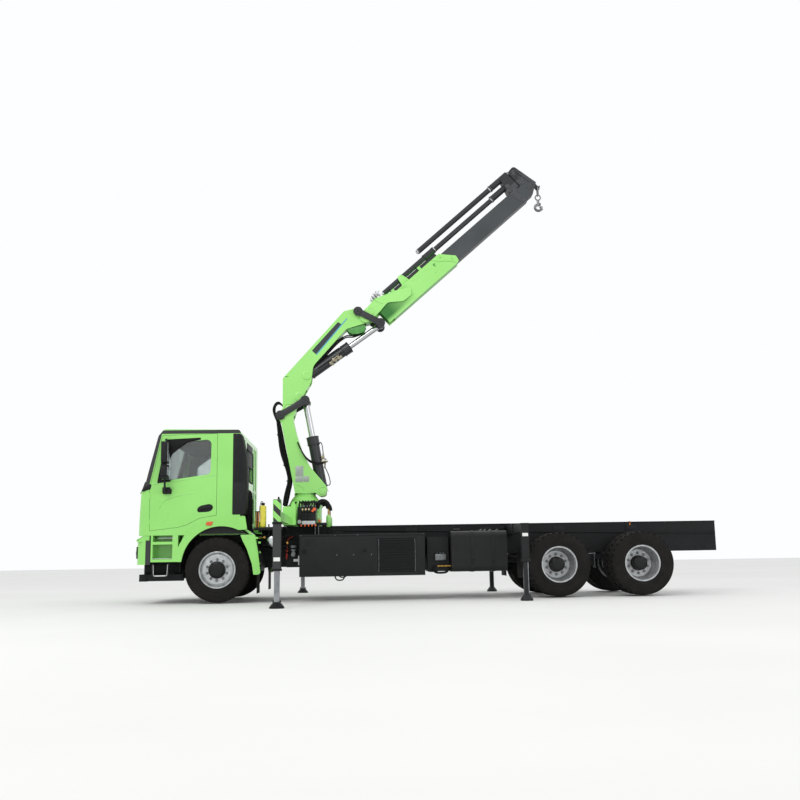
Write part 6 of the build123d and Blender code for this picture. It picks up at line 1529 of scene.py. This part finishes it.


# This green is lighter than the same enamel on the cab: painted light. What faces down is darker, and the
# dark green band below the ear is painted shade; the dark grey band is the ram's own paint.
outer_enamel = surface("green_boom_enamel_dark_ram_painted_light_and_shade", "#A3E383", "#9ADB7A", 900, 0.4, 0.08, specular=0.2,
        grain_mm=14, grain=0.03, underside_shade="#3F8A3C", bands=(("#343638", ram_mask), ("#2F6E31", recess_shade_mask)))
dress(outer_enamel, "outer_boom")
collar = bmesh.new()
for side in (-1, 1):
    face = side * OUTER_HALF
    boom_plate(collar, [(1634, -6), (1824, -6), (2048, -246), (2030, -345), (1995, -370), (1955, -370),
            (1939, -302), (1701, -90)], side * 118, face + side * 7, 3, 10)
    for along, above, radius in ((1428, -66, 15), (1550, -218, 15), (905, -300, 12), (1130, -66, 12)):
        add_turned(collar, on_boom(along, above, face), (0, side, 0),
                [(0, radius + 6), (3, radius + 4), (4, radius), (4, 0)], sides=20)
    for along, above in ((1806, -78), (1958, -236)):
        add_bolt(collar, on_boom(along, above, face + side * 7), (0, side, 0), 15)
    add_turned(collar, on_boom(142, 24, side * 156), (0, side, 0), [(0, 84), (3, 82), (6, 76), (6, 46),
            (3, 44), (3, 0)], sides=44)
    # Weld lines: out on the flared ear near the pin, on the box's side further along.
    for rows in ([(240, 150), (420, 118), (560, 68), (700, 22), (840, -40)],
            [(620, -205), (740, -212), (860, -228), (960, -262)], [(330, 150), (352, 40), (400, -30)]):
        add_tube(collar, [on_boom(along, above, side * (157 if rows[0][0] < 500 and along < 560 else 133))
                for along, above in rows], 5, sides=8)
    boom_plate(collar, [(925, 20), (945, 150), (973, 188), (1029, 188), (1065, 140), (1095, 0), (905, 0)],
            side * 62, side * 76, 4, 12)
piece("boom_collar_and_welds", collar, "outer_boom", crane_enamel)
# The lifting hole is a thin dark green plate on the side: painted shade of the hole.
moon = bmesh.new()
for side in (-1, 1):
    boom_plate(moon, [(1606, -80), (1640, -84), (1660, -100), (1640, -104), (1628, -128), (1634, -156),
            (1608, -140), (1596, -108)], side * OUTER_HALF, side * (OUTER_HALF + 1.2), 0, 4)
piece("boom_lifting_hole", moon, "outer_boom", shade_green)
sleeve = bmesh.new()
for along in (1600, 1822):
    add_turned(sleeve, on_boom(along, RAM_1, 0), BOOM_HEADING, [(0, 40), (0, 63), (4, 66), (16, 66),
            (20, 63), (20, 40)])
piece("ram_gland_rings", sleeve, "outer_boom", dark_enamel)
ends = bmesh.new()
add_turned(ends, on_boom(540, RAM_1, 0), BOOM_HEADING, [(0, 0), (2, 30), (8, 36), (30, 38), (34, 44),
        (38, 44), (38, 0)], sides=32)
for along, above, y, size in ((312, 196, -92, 24), (372, 232, -100, 26), (430, 240, -88, 24),
        (474, 212, -96, 20), (340, 222, -40, 22), (410, 200, -30, 24)):
    add_rod(ends, on_boom(along, above - 84, y), on_boom(along, above, y), size, sides=6, bevel_mm=3)
    add_rod(ends, on_boom(along - 34, above - 20, y), on_boom(along + 46, above + 6, y), size * 0.6,
            sides=10, bevel_mm=2)
add_turned(ends, on_boom(1843, RAM_1, 0), BOOM_HEADING, [(0, 50), (0, 58), (4, 61), (16, 61), (20, 57),
        (20, 50)], sides=32)
piece("boom_rear_fittings", ends, "outer_boom", tread_metal)


# Extensions
# Two telescopic box sections, folded and laser welded, in grey enamel, with the second
# ram on top; its rear cap and the joints between tubes are bright zinc.
# What faces down is darkened to near black: painted shade. The dark band is the rams' own paint.
extension_enamel = surface("grey_extension_enamel_dark_rams_painted_shade", "#4B4E50", "#434648", 500, 0.42, specular=0.2,
        grain_mm=10, grain=0.06, underside_shade="#151617", bands=(("#343638", ram_mask),))
dress(extension_enamel, "extension_1", "extension_2")
jacket = bmesh.new()
add_turned(jacket, on_boom(1846, 128, 0), BOOM_HEADING, [(0, 38), (0, 44), (4, 47), (1490, 47), (1496, 44),
        (1496, 38)])
piece("first_ram_outer_tube", jacket, "extension_1", dark_enamel)
under = bmesh.new()
boom_plate(under, [(700, 0), (700, 60), (760, 74), (1500, 74), (1800, 70), (1812, -2)], -34, 34, 6)
piece("ram_saddle", under, "outer_boom", dark_enamel)
rings = bmesh.new()
add_turned(rings, on_boom(1566, RAM_2, 0), BOOM_HEADING, [(0, 0), (2, 28), (10, 36), (16, 36), (20, 44),
        (40, 46), (44, 50), (50, 50), (50, 0)], sides=32)
for along, above, size in ((3322, 128, 50), (3436, RAM_2, 54)):
    add_turned(rings, on_boom(along, above, 0), BOOM_HEADING, [(0, 30), (0, size), (4, size + 4),
            (20, size + 4), (24, size), (24, 30)], sides=32)
for along, above in ((1560, 330), (1548, 284)):
    add_rod(rings, on_boom(along, above, -40), on_boom(along + 40, above, -40), 12, sides=6)
piece("ram_zinc_rings", rings, "extension_1", tread_metal)
brackets = bmesh.new()
for side in (-1, 1):
    for along, above in ((3735, 105), (3700, 20), (3790, -40)):
        add_turned(brackets, on_boom(along, above, side * 85), (0, side, 0),
                [(0, 46), (8, 46), (12, 40), (12, 0)], sides=28)
    boom_plate(brackets, [(3640, -36), (3760, -36), (3836, -340), (3716, -340)], side * 112, side * 118, 2, 8)
    for along, above in ((3706, -90), (3770, -240)):
        add_bolt(brackets, on_boom(along, above, side * 118), (0, side, 0), 12)
add_turned(brackets, on_boom(3343, RAM_1, 0), BOOM_HEADING, [(0, 60), (0, 66), (18, 66), (22, 62),
        (22, 60)], sides=36)
add_turned(brackets, on_boom(3470, RAM_2, 0), BOOM_HEADING, [(0, 58), (0, 66), (22, 66), (26, 62),
        (26, 58)], sides=36)
piece("extension_brackets", brackets, "extension_1", grey_enamel)

# Boom head: two burnt plates with spacers, a hose guide drum and bolted covers.
HEAD_HALF = 85
head = bmesh.new()
steel = bmesh.new()
for side in (-1, 1):
    face = side * HEAD_HALF
    boom_plate(head, [(4062, 190), (4100, 150), (4150, -96), (4112, -104)], face, face + side * 14, 4, 8)
    boom_plate(head, [(3935, 20), (4070, 40), (4092, -60), (3940, -70)], face, face + side * 8, 3, 10)
    boom_plate(head, [(3932, -96), (4130, -120), (4110, -220), (3960, -212)], face, face + side * 6, 3, 10)
    boom_plate(head, [(3945, 210), (4010, 290), (4064, 262), (4010, 180)], face, face + side * 10, 3, 8)
    for along, above, radius in ((3998, -150, 15), (3965, -44, 14), (4060, -20, 14), (4054, -190, 14),
            (4120, -180, 14), (4020, 90, 16), (4080, 214, 12)):
        add_bolt(head, on_boom(along, above, face + side * 8), (0, side, 0), radius * 0.8)
        add_turned(head, on_boom(along, above, face), (0, side, 0), [(0, radius + 10), (7, radius + 8),
                (8, radius), (8, 0)], sides=20)
    for k in range(5):
        add_turned(steel, on_boom(3996, 196, side * (20 + k * 13)), (0, side, 0),
                [(0, 30), (0, 52), (5, 56), (9, 52), (9, 30)], sides=32)
    add_turned(steel, on_boom(3930, 292, side * 60), (0, side, 0), [(0, 0), (0, 26), (20, 26), (24, 20),
            (24, 0)], sides=24)
boom_plate(steel, [(3880, 262), (3880, 312), (3925, 322), (3925, 262)], -56, 56, 4)
add_turned(head, on_boom(3996, 196, -86), (0, 1, 0), [(0, 0), (0, 26), (172, 26), (172, 0)], sides=24)
piece("head_covers", head, "extension_2", grey_enamel)
piece("head_hose_guides", steel, "extension_2", zinc_bolts)
guides = bmesh.new()
HEAD_HOSE_LINE = ((3900, 286), (3960, 270), (4040, 196), (4030, 90), (3960, 20), (3950, -50))
for y in (-62, -44, 44, 62):
    add_tube(guides, [on_boom(along, above, y) for along, above in HEAD_HOSE_LINE], 11)
piece("head_hoses", guides, "extension_2", seal_rubber)


# Shackle, ring and hook
# Forged and heat-treated steel parts, dark with oil and bright where they rub, hanging
# from the head's pin, with a sprung safety latch across the hook's mouth.
forged_steel = surface("oiled_forged_steel", "#8D8F91", "#595B5D", 40, 0.3, 0.2, metallic=0.9, grain_mm=6,
        grain=0.25)
dress(forged_steel, "hook")
HOOK_AXIS, HOOK_TOP = 5815, 7640    # the hook's upright axis and its pin's height
latch = bmesh.new()
add_plate(latch, [(HOOK_AXIS + 8, 7246), (HOOK_AXIS + 20, 7250), (HOOK_AXIS + 66, 7200),
        (HOOK_AXIS + 58, 7190)], -11, 11, 2)
add_turned(latch, (HOOK_AXIS, 0, 7330), (0, 0, -1), [(0, 26), (6, 32), (30, 33), (40, 30), (46, 26)],
        sides=28)
add_rod(latch, (HOOK_AXIS + 6, -26, 7246), (HOOK_AXIS + 6, 26, 7246), 7, sides=12)
add_rod(latch, (HOOK_AXIS, -66, HOOK_TOP), (HOOK_AXIS, -50, HOOK_TOP), 22, sides=6, bevel_mm=2)
add_rod(latch, (HOOK_AXIS, 50, HOOK_TOP), (HOOK_AXIS, 66, HOOK_TOP), 24, sides=20, bevel_mm=2)
piece("hook_latch_and_pin_nut", latch, "hook", zinc_bolts)


# Hoses at the fold
# Two rubber hoses lie in slack loops from the inner boom's underside to the knuckle pin,
# held on the inner boom, so that the outer boom's fork turns past them as it folds.
fold_hoses = bmesh.new()
for y in (-62, 62):
    add_tube(fold_hoses, [(2050, y, 4700), (2110, y, 4742), (2180, y, 4740), (2270, y, 4744),
            (2370, y, 4790), (2440, y, 4880), (2480, y * 0.9, 4960)], 12)
piece("knuckle_hoses", fold_hoses, "inner_boom", seal_rubber)


# Studio
# A plain pale floor under a pale sky, a broad soft lamp from the left and above, and a
# weaker one from the right, so the near side is lit evenly as outdoors under thin cloud.
floor = bmesh.new()
bmesh.ops.create_grid(floor, x_segments=1, y_segments=1, size=70.0)
ground = bpy.data.meshes.new("studio_floor")
floor.to_mesh(ground)
floor.free()
ground.materials.append(surface("pale_studio_floor", "#E4E4E2", "#DFDFDD", 4000, 0.85, grain=0.02))
stage = bpy.data.objects.new("studio_floor", ground)
bpy.context.scene.collection.objects.link(stage)

world = bpy.data.worlds.new("studio_sky")
world.use_nodes = True
world.node_tree.nodes["Background"].inputs["Color"].default_value = linear("#FDFEFF")
world.node_tree.nodes["Background"].inputs["Strength"].default_value = 1.0
bpy.context.scene.world = world
bpy.context.scene.view_settings.view_transform = "Standard"


def soft_lamp(name, place, aim, size, power):
    """A round area lamp that faces a point."""
    lamp = bpy.data.lights.new(name, "AREA")
    lamp.shape = "DISK"
    lamp.size = size
    lamp.energy = power
    made = bpy.data.objects.new(name, lamp)
    made.location = place
    made.rotation_euler = (Vector(aim) - Vector(place)).to_track_quat("-Z", "Y").to_euler()
    bpy.context.scene.collection.objects.link(made)


soft_lamp("key", (-8.0, -14.0, 14.0), (0.0, 0.0, 2.5), 7.0, 850)
soft_lamp("fill", (10.0, -12.0, 6.0), (0.0, 0.0, 2.0), 8.0, 220)
